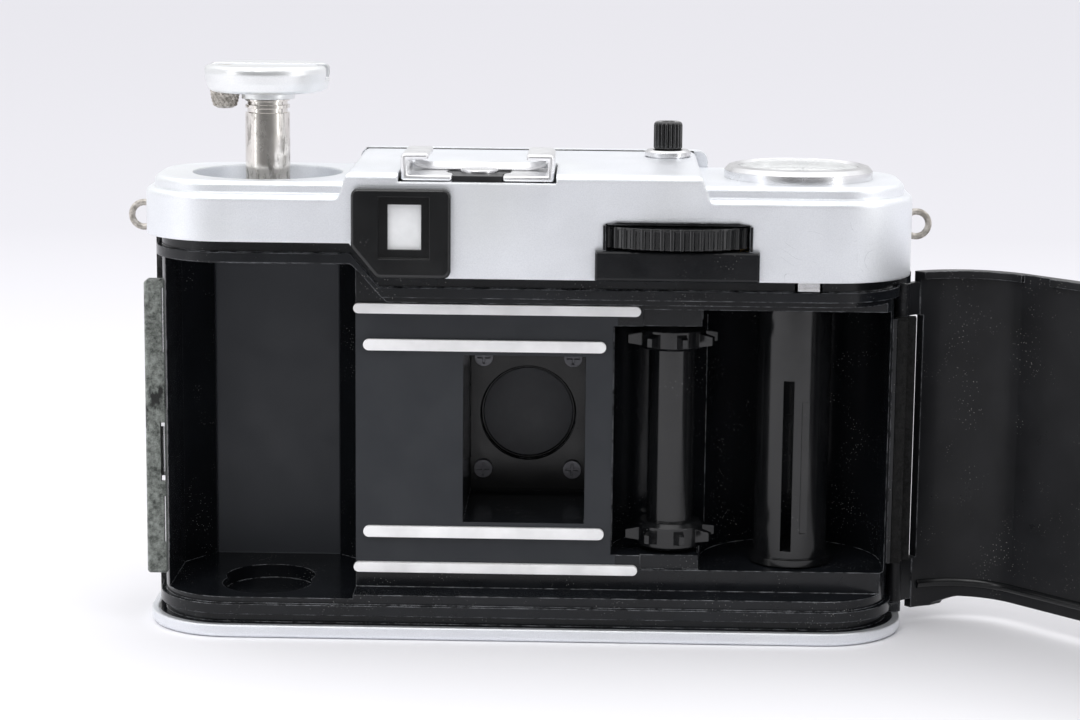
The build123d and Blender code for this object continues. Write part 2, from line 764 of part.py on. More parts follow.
with BuildPart() as spool_gear:
    gear_teeth(spool_x, spool_y, spool_teeth, mesh_angle + 180 + 180 / spool_teeth, gear_low, gear_high)
    post(spool_x, spool_y, 1.5, gear_low, gear_high, Mode.SUBTRACT)
save(spool_gear, "spool_gear")

with BuildPart() as wheel_housing:
    block(-32.15, -9.7, half_depth - 0.2, 16.9, low_top + 0.1, 55.5)
    fillet(wheel_housing.faces().sort_by(Axis.Y)[-1].edges(), 0.4)
    elevation(
        [(-31.2, 55.5), (-31.2, 58.9), (-29.2, 59.45), (-12.7, 59.45), (-10.75, 58.9), (-10.75, 55.5)],
        15.95,
        half_depth,
    )
    block(-30.75, -11.15, 10, 20, 55.5, 59.05, Mode.SUBTRACT)
    block(-32.3, -9.7, 10, half_depth, 50, 60, Mode.SUBTRACT)
save(wheel_housing, "wheel_housing")

# ---------------------------------------------------------------- frame counter and shutter button

with BuildPart() as counter_ring:
    upright_turned(
        counter_x,
        counter_y,
        [(8.7, platform_z), (10.45, platform_z), (10.45, 65.3), (9.9, 65.9), (9.1, 66.1), (8.7, 65.7)],
    )
save(counter_ring, "counter_ring")

with BuildPart() as counter_window:
    upright_turned(
        counter_x,
        counter_y,
        [(0, 66.75), (3.0, 66.65), (6.0, 66.3), (8.65, 65.65), (8.65, 65.15), (0, 65.9)],
    )
save(counter_window, "counter_window")

with BuildPart() as counter_dial:
    post(counter_x, counter_y, 8.3, platform_z + 0.1, platform_z + 0.5)
    post(counter_x, counter_y, 1.0, 60.5, platform_z + 0.1)
save(counter_dial, "counter_dial")

with BuildPart() as counter_reset_tab:
    block(-40.6, -37.6, 9.3, 14.0, low_top - 1.4, low_top - 0.1)
save(counter_reset_tab, "counter_reset_tab")

with BuildPart() as button_collar:
    upright_turned(
        button_x,
        button_y,
        [(2.15, 62.0), (2.9, 62.0), (2.9, 66.4), (3.3, 66.4), (3.3, 66.95), (2.95, 67.25), (2.15, 67.25)],
    )
save(button_collar, "button_collar")

with BuildPart() as shutter_button:
    post(button_x, button_y, 2.08, 60.9, 71.0)
    post(button_x, button_y, 1.7, 71.0, 71.3)
    post(button_x, button_y, 0.9, 70.5, 72, Mode.SUBTRACT)
save(shutter_button, "shutter_button")

# ---------------------------------------------------------------- rewind, drawn pulled up

sleeve_radius = 3.15
sleeve_low = 56.5
disc_low = 75.6
disc_high = 79.4
disc_radius = 8.95
crank_pivot_x = rewind_x - 5.8
crank_pivot_z = disc_high - 1.0
grip_x = rewind_x + 6.0

with BuildPart() as rewind_bush:
    post(rewind_x, rewind_y, 4.3, chamber_top, well_floor)
    post(rewind_x, rewind_y, sleeve_radius + fit, 50, 70, Mode.SUBTRACT)
save(rewind_bush, "rewind_bush")

with BuildPart() as rewind_sleeve:
    upright_turned(
        rewind_x,
        rewind_y,
        [
            (1.7, sleeve_low),
            (2.9, sleeve_low),
            (sleeve_radius, sleeve_low + 0.3),
            (sleeve_radius, 72.6),
            (2.85, 72.7),
            (2.85, 73.2),
            (sleeve_radius, 73.3),
            (sleeve_radius, 73.7),
            (2.85, 73.8),
            (2.85, 74.2),
            (sleeve_radius, 74.3),
            (sleeve_radius, 74.5),
            (1.7, 74.5),
        ],
    )
save(rewind_sleeve, "rewind_sleeve")

with BuildPart() as rewind_spindle:
    post(rewind_x, rewind_y, 1.65, sleeve_low - 2.6, disc_low)
    block(
        rewind_x - 2.8, rewind_x + 2.8, rewind_y - 0.8, rewind_y + 0.8, sleeve_low - 2.6, sleeve_low - 0.2
    )
save(rewind_spindle, "rewind_spindle")

with BuildPart() as rewind_knob:
    upright_turned(
        rewind_x,
        rewind_y,
        [
            (0, disc_low),
            (disc_radius - 1.3, disc_low),
            (disc_radius - 0.6, disc_low + 0.35),
            (disc_radius - 0.2, disc_low + 1.4),
            (disc_radius, disc_high - 1.1),
            (disc_radius - 0.05, disc_high - 0.45),
            (disc_radius - 0.35, disc_high - 0.1),
            (disc_radius - 0.6, disc_high),
            (0, disc_high),
        ],
    )
    upright_turned(rewind_x, rewind_y, [(1.65, 74.6), (3.85, 74.6), (3.85, disc_low), (1.65, disc_low)])
    # slot for the folding lever, deeper round its pivot
    block(rewind_x - 9.5, rewind_x + 9.5, rewind_y - 2.4, rewind_y + 2.4, disc_high - 2.1, disc_high + 1, Mode.SUBTRACT)
    block(
        crank_pivot_x - 1.7,
        crank_pivot_x + 1.7,
        rewind_y - 2.4,
        rewind_y + 2.4,
        disc_high - 2.6,
        disc_high + 1,
        Mode.SUBTRACT,
    )
    block(grip_x - 2.6, grip_x + 9, rewind_y - 2.6, rewind_y + 2.6, disc_low - 1, disc_high + 1, Mode.SUBTRACT)
    with BuildSketch(front_plane(rewind_y + 4.0)) as pin_face:
        with Locations((crank_pivot_x, crank_pivot_z)):
            Circle(0.5)
    extrude(pin_face.sketch, amount=8.0, mode=Mode.SUBTRACT)
save(rewind_knob, "rewind_knob")

with BuildPart() as crank_pin:
    with BuildSketch(front_plane(rewind_y + 4.0)) as pin_face:
        with Locations((crank_pivot_x, crank_pivot_z)):
            Circle(0.5)
    extrude(pin_face.sketch, amount=8.0)
save(crank_pin, "crank_pin")

with BuildPart() as crank_lever:
    with BuildSketch(Plane.XY.offset(disc_high - 1.5)) as lever_face:
        with Locations(((crank_pivot_x + grip_x) / 2, rewind_y)):
            SlotCenterToCenter(grip_x - crank_pivot_x, 4.0)
    extrude(lever_face.sketch, amount=1.4)
    block(crank_pivot_x - 2.2, crank_pivot_x - 0.95, rewind_y - 3, rewind_y + 3, 70, 80, Mode.SUBTRACT)
    with BuildSketch(front_plane(rewind_y + 4.0)) as pin_face:
        with Locations((crank_pivot_x, crank_pivot_z)):
            Circle(0.5 + fit)
    extrude(pin_face.sketch, amount=8.0, mode=Mode.SUBTRACT)
    post(grip_x, rewind_y, 0.9, 70, 80, Mode.SUBTRACT)
    post(grip_x, rewind_y, 1.3, disc_high - 0.6, 80, Mode.SUBTRACT)
save(crank_lever, "crank_lever")

with BuildPart() as crank_grip:
    upright_turned(
        grip_x,
        rewind_y,
        [
            (0, 73.15),
            (1.3, 73.15),
            (1.75, 73.5),
            (2.0, 74.4),
            (2.2, 75.8),
            (2.2, 77.7),
            (0.85, 77.7),
            (0.85, disc_high - 0.55),
            (1.2, disc_high - 0.55),
            (1.2, disc_high - 0.15),
            (0, disc_high - 0.15),
        ],
    )
save(crank_grip, "crank_grip")

# ---------------------------------------------------------------- strap lugs

with BuildPart() as strap_lugs:
    for lug_x in (right_end - 1.05, left_end + 1.05):
        with Locations((lug_x, 0, 57.8)):
            Torus(1.76, 0.46, rotation=(90, 0, 0))
    block(right_end, left_end, -5, 5, 50, 65, Mode.SUBTRACT)
save(strap_lugs, "strap_lugs")

# ---------------------------------------------------------------- back door, drawn open

door_low = base_height + 0.15
door_right_end = 5.0
door_left_end = 5.6
door_edge = 3.35
door_strip_edge = 5.62
catch_low = left_end - 1.85
catch_high = left_end - 1.35
door_top_right = low_top - 0.25
door_top_left = high_top - 0.25


def door_bend(outer_inset, inner_inset, low, high):
    """Wall that follows the body's rear half, from the hinge end to the latch end."""
    with BuildSketch(door_plane.offset(low)) as profile:
        with Locations((body_x, 0)):
            RectangleRounded(body_width - 2 * outer_inset, body_depth - 2 * outer_inset, corner_radius - outer_inset)
            RectangleRounded(
                body_width - 2 * inner_inset,
                body_depth - 2 * inner_inset,
                corner_radius - inner_inset,
                mode=Mode.SUBTRACT,
            )
        with BuildLine():
            Polyline(
                (-60, -20),
                (60, -20),
                (60, door_left_end),
                (0, door_left_end),
                (0, door_right_end),
                (-60, door_right_end),
                close=True,
            )
        make_face(mode=Mode.SUBTRACT)
    extrude(profile.sketch, amount=high - low)


def door_front_plane(y, x=0.0, z=0.0):
    """Elevation plane of the turned door at depth y, extrusions run towards the lens."""
    return Plane(
        origin=door_plane.from_local_coords((x, y, z)),
        x_dir=door_plane.x_dir,
        z_dir=door_plane.y_dir * -1,
    )


def door_elevation(points, mode):
    """Prism through the closed door's depth from a polygon drawn in elevation."""
    with BuildSketch(door_front_plane(20)) as profile:
        with BuildLine():
            Polyline(*points, close=True)
        make_face()
    extrude(profile.sketch, amount=40, mode=mode)


with BuildPart() as door_flanges:
    door_bend(skin - 0.01, 1.9, door_low, high_top)
    door_elevation(stepped_band(top_ridge_left[1] + 0.25, top_ridge_right[1] + 0.25, door_top_left, door_top_right), Mode.INTERSECT)

with BuildPart() as back_door:
    door_bend(0, skin, door_low, high_top)
    door_elevation(stepped_band(-5, -5, door_top_left, door_top_right), Mode.INTERSECT)
    # lower edge, cut higher beyond the bend at the hinge end
    door_elevation(
        [(-52.4, 0), (-51.6, door_low + 0.4), (-50.4, door_edge - 0.3), (-49.4, door_edge), (60, door_edge), (60, 0)],
        Mode.SUBTRACT,
    )
    add(door_flanges.part)
    # narrow gap beside the fixed hinge strip
    block(-56, -51, 4.0, door_strip_edge, *strip_heights, Mode.SUBTRACT, door_plane)
    # opening in the upper flange for the counter reset tab
    block(-41.6, -36.6, 12, half_depth - skin, low_top - 1.7, low_top + 0.5, Mode.SUBTRACT, door_plane)
    # hinge ears
    for ear_low, ear_high in ((3.35, strip_heights[0] - 0.15), (strip_heights[1] + 0.15, 49.55)):
        block(hinge_x - 0.6, hinge_x + 0.5, hinge_y, door_right_end + 0.5, ear_low, ear_high, base=door_plane)
        post(hinge_x, hinge_y, 1.0, ear_low, ear_high, base=door_plane)
        post(hinge_x, hinge_y, 0.5 + fit, ear_low - 1, ear_high + 1, Mode.SUBTRACT, door_plane)
    # catch at the latch end: a tongue with a barb at its tip
    block(catch_low, catch_high, 1.5, 7.4, 22.0, 23.2, base=door_plane)
    block(catch_low, catch_high, 1.5, 1.9, 22.0, 26.0, base=door_plane)
    block(catch_low, catch_high, 5.6, 7.4, 22.0, 26.0, base=door_plane)
save(back_door, "back_door")

with BuildPart() as hinge_pin:
    post(hinge_x, hinge_y, 0.5, base_height + 0.1, low_top)
save(hinge_pin, "hinge_pin")

plate_low = 7.9
plate_high = 47.1
plate_front = film_plane_y + 0.3
plate_rear = plate_front + 1.0
plate_width = 36.8
stud_x = 5.0
stud_heights = (18.5, 36.5)

with BuildPart() as pressure_plate:
    with BuildSketch(door_front_plane(plate_rear)) as plate_face:
        with Locations((stud_x, (plate_low + plate_high) / 2)):
            RectangleRounded(plate_width, plate_high - plate_low, 1.5)
        with Locations(*[(stud_x, stud_z) for stud_z in stud_heights]):
            Circle(1.2 + fit, mode=Mode.SUBTRACT)
    extrude(plate_face.sketch, amount=plate_rear - plate_front)
save(pressure_plate, "pressure_plate")

with BuildPart() as pressure_studs:
    with BuildSketch(door_front_plane(half_depth - skin)) as stud_faces:
        with Locations(*[(stud_x, stud_z) for stud_z in stud_heights]):
            Circle(1.2)
    extrude(stud_faces.sketch, amount=half_depth - skin - plate_front - 0.2)
save(pressure_studs, "pressure_studs")

with BuildPart() as pressure_spring:
    with BuildSketch(door_plane.offset(23.5)) as spring_face:
        with BuildLine():
            ThreePointArc((-8.0, 11.4), (5.0, half_depth - skin - 0.35), (18.0, 11.4))
            Line((18.0, 11.4), (18.0, 11.75))
            ThreePointArc((18.0, 11.75), (5.0, half_depth - skin), (-8.0, 11.75))
            Line((-8.0, 11.75), (-8.0, 11.4))
        make_face()
    extrude(spring_face.sketch, amount=8.0)
save(pressure_spring, "pressure_spring")

# ---------------------------------------------------------------- latch at the cartridge end

plate_rear_y = 3.0
windows = ((10.5, 17.4), (19.6, 28.2), (38.3, 47.7))

with BuildPart() as latch_plate:
    block(left_end - 1.95, left_end + 0.9, 0.05, plate_rear_y, 6.0, 48.7)
    fillet(latch_plate.faces().sort_by(Axis.X)[-1].edges().filter_by(Axis.Y), 0.5)
    fillet(latch_plate.faces().sort_by(Axis.X)[-1].edges().filter_by(Axis.Z).sort_by(Axis.Y)[-1], 0.5)
    # channel for the sliding bar
    block(left_end - 1.95, left_end - 1.25, 0.85, 2.65, 6.0, 48.7, Mode.SUBTRACT)
    # windows that show the bar, the middle one wider to let the door's catch in
    for window_low, window_high in windows:
        block(left_end - 2, left_end - 1.65, 2, 4, window_low, window_high, Mode.SUBTRACT)
    block(left_end - 2, left_end - 1.25, 2, 4, *windows[1], Mode.SUBTRACT)
save(latch_plate, "latch_plate")

with BuildPart() as latch_bar:
    block(left_end - 1.9, left_end - 1.3, 0.9, 1.2, 10.3, 48.0)
    block(left_end - 1.9, left_end - 1.3, 1.2, 2.6, 10.3, 20.4)
    block(left_end - 1.9, left_end - 1.3, 1.95, 2.6, 27.6, 31.8)
    block(left_end - 1.9, left_end - 1.3, 1.2, 2.6, 31.8, 48.0)
save(latch_bar, "latch_bar")
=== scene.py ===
import bpy
import bmesh
import json
import math
from mathutils import Matrix, Vector


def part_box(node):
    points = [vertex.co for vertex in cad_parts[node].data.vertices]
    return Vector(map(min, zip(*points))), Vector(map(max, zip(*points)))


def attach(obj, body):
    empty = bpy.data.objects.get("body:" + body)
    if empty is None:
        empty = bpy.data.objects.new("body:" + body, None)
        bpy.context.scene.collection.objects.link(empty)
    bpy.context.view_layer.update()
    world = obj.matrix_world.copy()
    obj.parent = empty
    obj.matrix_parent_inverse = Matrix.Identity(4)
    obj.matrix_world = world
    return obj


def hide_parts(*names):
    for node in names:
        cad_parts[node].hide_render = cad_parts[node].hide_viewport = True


# Half frame camera, seen from behind with its door open. Scene units are metres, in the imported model's frame.
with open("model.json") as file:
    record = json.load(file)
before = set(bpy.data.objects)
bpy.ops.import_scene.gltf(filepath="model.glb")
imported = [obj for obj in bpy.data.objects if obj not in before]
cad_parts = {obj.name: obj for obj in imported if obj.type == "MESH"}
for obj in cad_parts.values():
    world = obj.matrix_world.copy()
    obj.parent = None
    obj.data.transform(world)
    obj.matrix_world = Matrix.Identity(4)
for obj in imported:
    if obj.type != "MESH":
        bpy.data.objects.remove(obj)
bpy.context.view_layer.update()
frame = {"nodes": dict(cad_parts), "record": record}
nodes = frame["nodes"]
MM = 0.001
WELD = 0.002 * MM


# ------------------------------------------------------------------ camera, floor and light

CAMERA_TARGET = Vector((-2.17, 9.0, 39.06)) * MM
CAMERA_DISTANCE = 384.82 * MM
CAMERA_ELEVATION = 9.73
CAMERA_YAW = -1.35
CAMERA_ROLL = 0.55
CAMERA_LENS = 91.67

# The floor ends at this Y on the viewer's side, so the metal reflects the dim part of the tent below it.
# It reaches this far on the other sides, and its colour changes over this range of Y: painted shade, darker
# away from the camera, for the light falling off across the floor.
TABLE_EDGE_Y = 0.32
TABLE_REACH = 8.0
FLOOR_FADE = (-0.45, 0.06)

# Light tent: (direction, cosine where the patch is full, cosine where it ends, change of brightness)
TENT_LEVEL = 1.13
TENT_COLOR = (0.985, 0.985, 1.0, 1)
TENT_PATCHES = [
    ((0, 1, 0.12), 0.95, 0.50, -0.88),
    ((0, 0.1, 1), 0.9, 0.3, 0.62),
    ((0, -1, 0.2), 0.97, 0.6, -0.34),
    ((-1, 0.2, 0.2), 0.95, 0.5, -0.30),
    ((1, 0.2, 0.2), 0.95, 0.5, -0.32),
]

# Name, place, point it faces, width and height, watts
AREA_LIGHTS = [
    ("left_strip", (0.75, 0.42, 0.25), (0, 0, 0.03), (0.10, 0.7), 0.5),
    ("right_strip", (-0.75, 0.42, 0.25), (0, 0, 0.03), (0.10, 0.7), 1.1),
    ("key_box", (0.3, 0.55, 0.9), (0, 0, 0.04), (0.6, 0.4), 2.4),
]

# Floor colour at the low and the high end of that range: the far floor is painted darker, as painted shade.
FLOOR_FAR_COLOR = (0.640, 0.635, 0.662)
FLOOR_NEAR_COLOR = (0.820, 0.815, 0.835)


def make_camera():
    """Camera behind the open camera back, a little above it."""
    yaw = math.radians(CAMERA_YAW)
    pitch = math.radians(CAMERA_ELEVATION)
    roll = math.radians(CAMERA_ROLL)
    away = Vector((math.sin(yaw) * math.cos(pitch), math.cos(yaw) * math.cos(pitch), math.sin(pitch)))
    right = (-away).cross(Vector((0, 0, 1))).normalized()
    up = right.cross(-away)
    right_rolled = right * math.cos(roll) + up * math.sin(roll)
    up_rolled = up * math.cos(roll) - right * math.sin(roll)
    data = bpy.data.cameras.new("view_camera")
    data.lens = CAMERA_LENS
    data.sensor_width = 36
    data.clip_start = 0.01
    camera = bpy.data.objects.new("view_camera", data)
    rotation = Matrix((right_rolled, up_rolled, away)).transposed().to_4x4()
    camera.matrix_world = Matrix.Translation(CAMERA_TARGET + away * CAMERA_DISTANCE) @ rotation
    bpy.context.scene.collection.objects.link(camera)
    bpy.context.scene.camera = camera


def area_light(name, place, aim, size, power):
    """Rectangular soft light turned towards a point."""
    data = bpy.data.lights.new(name, "AREA")
    data.shape = "RECTANGLE"
    data.size = size[0]
    data.size_y = size[1]
    data.energy = power
    light = bpy.data.objects.new(name, data)
    light.location = place
    light.rotation_euler = (Vector(aim) - Vector(place)).to_track_quat("-Z", "Y").to_euler()
    bpy.context.scene.collection.objects.link(light)


def make_studio():
    """Pale floor inside a light tent: bright above and at the sides, dim towards the camera."""
    world = bpy.data.worlds.new("studio")
    bpy.context.scene.world = world
    world.use_nodes = True
    tree = world.node_tree
    background = tree.nodes["Background"]
    coordinate = tree.nodes.new("ShaderNodeTexCoord")
    direction = coordinate.outputs["Generated"]
    radiance = math_node(tree, "ADD", TENT_LEVEL, 0.0)
    for place, near, far, change in TENT_PATCHES:
        dot = tree.nodes.new("ShaderNodeVectorMath")
        dot.operation = "DOT_PRODUCT"
        dot.inputs[1].default_value = Vector(place).normalized()
        tree.links.new(direction, dot.inputs[0])
        patch = span(tree, dot.outputs["Value"], far, near, 0.0, change)
        patch.node.interpolation_type = "SMOOTHSTEP"
        radiance = math_node(tree, "ADD", radiance, patch)
    tree.links.new(radiance, background.inputs["Strength"])
    background.inputs["Color"].default_value = TENT_COLOR
    for light in AREA_LIGHTS:
        area_light(*light)

    mesh = bpy.data.meshes.new("floor")
    corners = [
        (-TABLE_REACH, -TABLE_REACH, 0),
        (TABLE_REACH, -TABLE_REACH, 0),
        (TABLE_REACH, TABLE_EDGE_Y, 0),
        (-TABLE_REACH, TABLE_EDGE_Y, 0),
    ]
    mesh.from_pydata(corners, [], [(0, 1, 2, 3)])
    floor = bpy.data.objects.new("floor", mesh)
    bpy.context.scene.collection.objects.link(floor)
    material, shader, tree = new_material("pale_floor")
    separate = tree.nodes.new("ShaderNodeSeparateXYZ")
    tree.links.new(object_coordinates(tree), separate.inputs["Vector"])
    # Painted shade: the floor's colour darkens away from the camera, for the light falling off across it.
    nearness = span(tree, separate.outputs["Y"], FLOOR_FADE[0], FLOOR_FADE[1])
    color = mix_color(tree, nearness, FLOOR_FAR_COLOR, FLOOR_NEAR_COLOR)
    tree.links.new(color, shader.inputs["Base Color"])
    shader.inputs["Roughness"].default_value = 0.8
    shader.inputs["Specular IOR Level"].default_value = 0.0
    mesh.materials.append(material)
    bpy.context.scene.view_settings.view_transform = "Standard"


# ------------------------------------------------------------------ material building blocks


def new_material(name):
    material = bpy.data.materials.new(name)
    material.use_nodes = True
    tree = material.node_tree
    return material, tree.nodes["Principled BSDF"], tree


def object_coordinates(tree, stretch=(1, 1, 1)):
    coordinate = tree.nodes.new("ShaderNodeTexCoord")
    mapping = tree.nodes.new("ShaderNodeMapping")
    mapping.inputs["Scale"].default_value = stretch
    tree.links.new(coordinate.outputs["Object"], mapping.inputs["Vector"])
    return mapping.outputs["Vector"]


def noise(tree, size_mm, detail=2.0, roughness=0.5, stretch=(1, 1, 1), offset=0.0):
    """Noise whose features are about size_mm across."""
    texture = tree.nodes.new("ShaderNodeTexNoise")
    texture.inputs["Scale"].default_value = 1.0 / (size_mm * MM)
    texture.inputs["Detail"].default_value = detail
    texture.inputs["Roughness"].default_value = roughness
    vector = object_coordinates(tree, stretch)
    if offset:
        vector.node.inputs["Location"].default_value = (offset, offset, offset)
    tree.links.new(vector, texture.inputs["Vector"])
    return texture.outputs["Fac"]


def span(tree, value, low, high, out_low=0.0, out_high=1.0):
    """Value stretched from one range to another and clamped."""
    node = tree.nodes.new("ShaderNodeMapRange")
    node.inputs["From Min"].default_value = low
    node.inputs["From Max"].default_value = high
    node.inputs["To Min"].default_value = out_low
    node.inputs["To Max"].default_value = out_high
    tree.links.new(value, node.inputs["Value"])
    return node.outputs["Result"]


def math_node(tree, operation, first, second):
    node = tree.nodes.new("ShaderNodeMath")
    node.operation = operation
    for socket, value in zip(node.inputs, (first, second)):
        if isinstance(value, (int, float)):
            socket.default_value = value
        else:
            tree.links.new(value, socket)
    return node.outputs["Value"]


def mix_color(tree, factor, first, second):
    """Colour mix; first and second are sockets or RGB tuples."""
    node = tree.nodes.new("ShaderNodeMix")
    node.data_type = "RGBA"
    tree.links.new(factor, node.inputs["Factor"])
    for socket, value in ((node.inputs[6], first), (node.inputs[7], second)):
        if isinstance(value, tuple):
            socket.default_value = (*value, 1)
        else:
            tree.links.new(value, socket)
    return node.outputs[2]


def add_bump(tree, shader, height, depth_mm, strength=1.0):
    node = tree.nodes.new("ShaderNodeBump")
    node.inputs["Strength"].default_value = strength
    node.inputs["Distance"].default_value = depth_mm * MM
    tree.links.new(height, node.inputs["Height"])
    previous = shader.inputs["Normal"]
    if previous.is_linked:
        tree.links.new(previous.links[0].from_socket, node.inputs["Normal"])
    tree.links.new(node.outputs["Normal"], shader.inputs["Normal"])


def round_edges(tree, shader, radius_mm):
    """Softens sharp edges in the shading by a small radius."""
    node = tree.nodes.new("ShaderNodeBevel")
    node.samples = 4
    node.inputs["Radius"].default_value = radius_mm * MM
    tree.links.new(node.outputs["Normal"], shader.inputs["Normal"])
    return node.outputs["Normal"]


def edge_mask(tree, rounded_normal):
    """One on edges, zero on flats, from how far the rounded normal leans."""
    geometry = tree.nodes.new("ShaderNodeNewGeometry")
    dot = tree.nodes.new("ShaderNodeVectorMath")
    dot.operation = "DOT_PRODUCT"
    tree.links.new(geometry.outputs["Normal"], dot.inputs[0])
    tree.links.new(rounded_normal, dot.inputs[1])
    return span(tree, dot.outputs["Value"], 0.97, 0.80)


def paint(tree, shader, base, variation, size_mm, rough, rough_spread=0.08):
    """Uneven base colour and roughness."""
    patches = noise(tree, size_mm, 3.0)
    color = mix_color(tree, span(tree, patches, 0.35, 0.65), base, variation)
    tree.links.new(color, shader.inputs["Base Color"])
    smudges = noise(tree, size_mm * 0.6, 4.0, 0.6, offset=3.1)
    roughness = span(tree, smudges, 0.3, 0.7, rough - rough_spread, rough + rough_spread)
    tree.links.new(roughness, shader.inputs["Roughness"])
    return color


def add_dust(tree, shader, color, tint, size_mm, amount):
    """Pale specks and lint on top of a base colour socket."""
    texture = tree.nodes.new("ShaderNodeTexVoronoi")
    texture.inputs["Scale"].default_value = 1.0 / (size_mm * MM)
    texture.inputs["Randomness"].default_value = 1.0
    tree.links.new(object_coordinates(tree), texture.inputs["Vector"])
    speck = span(tree, texture.outputs["Distance"], 0.16, 0.06)
    clusters = noise(tree, size_mm * 14, 2.0, offset=1.7)
    patch = span(tree, clusters, 0.66 - amount * 0.4, 0.78 - amount * 0.3)
    mask = math_node(tree, "MULTIPLY", speck, patch)
    tree.links.new(mix_color(tree, mask, color, tint), shader.inputs["Base Color"])


def scratches(tree, size_mm, threshold):
    """Thin marks drawn out along X."""
    lines = noise(tree, size_mm, 1.0, 0.5, (0.03, 1.0, 1.0))
    where = noise(tree, size_mm * 40, 2.0, offset=5.0)
    return math_node(
        tree,
        "MULTIPLY",
        span(tree, lines, threshold, threshold + 0.05),
        span(tree, where, 0.5, 0.62),
    )


def region(tree, low, high, feather=0.05):
    """One inside a box given by its corners in millimetres, zero outside it."""
    separate = tree.nodes.new("ShaderNodeSeparateXYZ")
    tree.links.new(object_coordinates(tree), separate.inputs["Vector"])
    inside = None
    for axis in range(3):
        for limit, sense in ((low[axis], 1), (high[axis], -1)):
            if limit is None:
                continue
            near = (limit - sense * feather) * MM
            far = (limit + sense * feather) * MM
            step = span(tree, separate.outputs[axis], near, far)
            inside = step if inside is None else math_node(tree, "MULTIPLY", inside, step)
    return inside


def curved_scratches(tree, low, high):
    """Thin curling marks inside a box: the level lines of a slow noise."""
    field = noise(tree, 5.5, 0.0, offset=11.0)
    wander = math_node(tree, "PINGPONG", math_node(tree, "MULTIPLY", field, 9.0), 0.5)
    line = span(tree, wander, 0.020, 0.006)
    broken = span(tree, noise(tree, 3.0, 2.0, offset=17.0), 0.50, 0.58)
    marks = math_node(tree, "MULTIPLY", line, broken)
    return math_node(tree, "MULTIPLY", marks, region(tree, low, high, 1.0))


# ------------------------------------------------------------------ materials


def satin_chrome(name="satin_chrome", base=(0.93, 0.95, 0.985), rough=0.42):
    """Bead blasted and chromed brass: pearly grain, faint hairlines and handling smudges."""
    material, shader, tree = new_material(name)
    shader.inputs["Metallic"].default_value = 0.84
    color = paint(tree, shader, base, tuple(0.94 * c for c in base), 14.0, rough, 0.05)
    grain = noise(tree, 0.17, 3.0, 0.7)
    color = mix_color(tree, span(tree, grain, 0.34, 0.66, 0.0, 0.30), color, (0.62, 0.64, 0.68))
    warm = span(tree, noise(tree, 22.0, 1.0, offset=7.0), 0.5, 0.75, 0.0, 0.35)
    color = mix_color(tree, warm, color, (0.88, 0.90, 0.86))
    rounded = round_edges(tree, shader, 0.45)
    polish = math_node(tree, "MULTIPLY", edge_mask(tree, rounded), 0.5)
    color = mix_color(tree, polish, color, (0.96, 0.97, 0.97))
    add_bump(tree, shader, grain, 0.022, 0.7)
    marks = scratches(tree, 0.5, 0.66)
    add_bump(tree, shader, marks, 0.01, 0.4)
    swirls = curved_scratches(tree, (-48.0, 12.0, 52.0), (-34.0, 16.0, 60.0))
    tree.links.new(mix_color(tree, swirls, color, (0.52, 0.54, 0.57)), shader.inputs["Base Color"])
    add_bump(tree, shader, swirls, 0.02, 0.6)
    return material


def bright_metal(name="bright_steel", base=(0.78, 0.78, 0.79), rough=0.22):
    """Machined or drawn metal with fine lines along X."""
    material, shader, tree = new_material(name)
    shader.inputs["Metallic"].default_value = 1.0
    paint(tree, shader, base, tuple(0.86 * c for c in base), 5.0, rough, 0.08)
    round_edges(tree, shader, 0.1)
    add_bump(tree, shader, noise(tree, 0.12, 2.0, 0.6, (0.04, 1.0, 1.0)), 0.01, 0.5)
    return material


def scuffed_nickel():
    """Polished nickel tube, dulled by long scuffs where it slides."""
    material, shader, tree = new_material("polished_nickel")
    shader.inputs["Metallic"].default_value = 1.0
    paint(tree, shader, (0.80, 0.77, 0.73), (0.70, 0.67, 0.63), 3.0, 0.12, 0.05)
    scuffs = noise(tree, 1.1, 5.0, 0.75, (1, 1, 0.35), 2.0)
    worn = span(tree, scuffs, 0.52, 0.60)
    base = shader.inputs["Base Color"].links[0].from_socket
    tree.links.new(mix_color(tree, worn, base, (0.40, 0.385, 0.36)), shader.inputs["Base Color"])
    rough = shader.inputs["Roughness"].links[0].from_socket
    dulled = math_node(tree, "ADD", rough, math_node(tree, "MULTIPLY", worn, 0.22))
    tree.links.new(dulled, shader.inputs["Roughness"])
    add_bump(tree, shader, scuffs, 0.02, 0.5)
    return material


def finder_glass():
    """Eyepiece lens of the finder, glowing weakly in place of the bright view through it."""
    material, shader, tree = new_material("finder_glass")
    haze = noise(tree, 2.0, 3.0)
    color = mix_color(tree, span(tree, haze, 0.35, 0.65), (0.80, 0.81, 0.82), (0.86, 0.87, 0.88))
    tree.links.new(color, shader.inputs["Base Color"])
    tree.links.new(color, shader.inputs["Emission Color"])
    shader.inputs["Emission Strength"].default_value = 0.10
    tree.links.new(span(tree, haze, 0.35, 0.75, 0.03, 0.10), shader.inputs["Roughness"])
    add_bump(tree, shader, noise(tree, 5.0, 1.0), 0.004, 0.4)
    return material


def rail_steel():
    """Film rails, polished by passing film. Their pure white colour, only partly metallic so much of it shows
    as diffuse light, is a painted reflection standing for the light the polished rails mirror.
    """
    material = bright_metal("rail_steel", (1.0, 1.0, 1.0), 0.38)
    # Less than fully metallic, so the white base colour shows as diffuse light: painted reflection.
    material.node_tree.nodes["Principled BSDF"].inputs["Metallic"].default_value = 0.45
    return material


def tarnished_metal(name="tarnished_steel"):
    """Dull grey brown metal with darker pits."""
    material, shader, tree = new_material(name)
    shader.inputs["Metallic"].default_value = 0.75
    paint(tree, shader, (0.62, 0.585, 0.54), (0.30, 0.28, 0.25), 0.7, 0.5, 0.12)
    round_edges(tree, shader, 0.1)
    add_bump(tree, shader, noise(tree, 0.25, 3.0, 0.6), 0.05, 0.6)
    return material


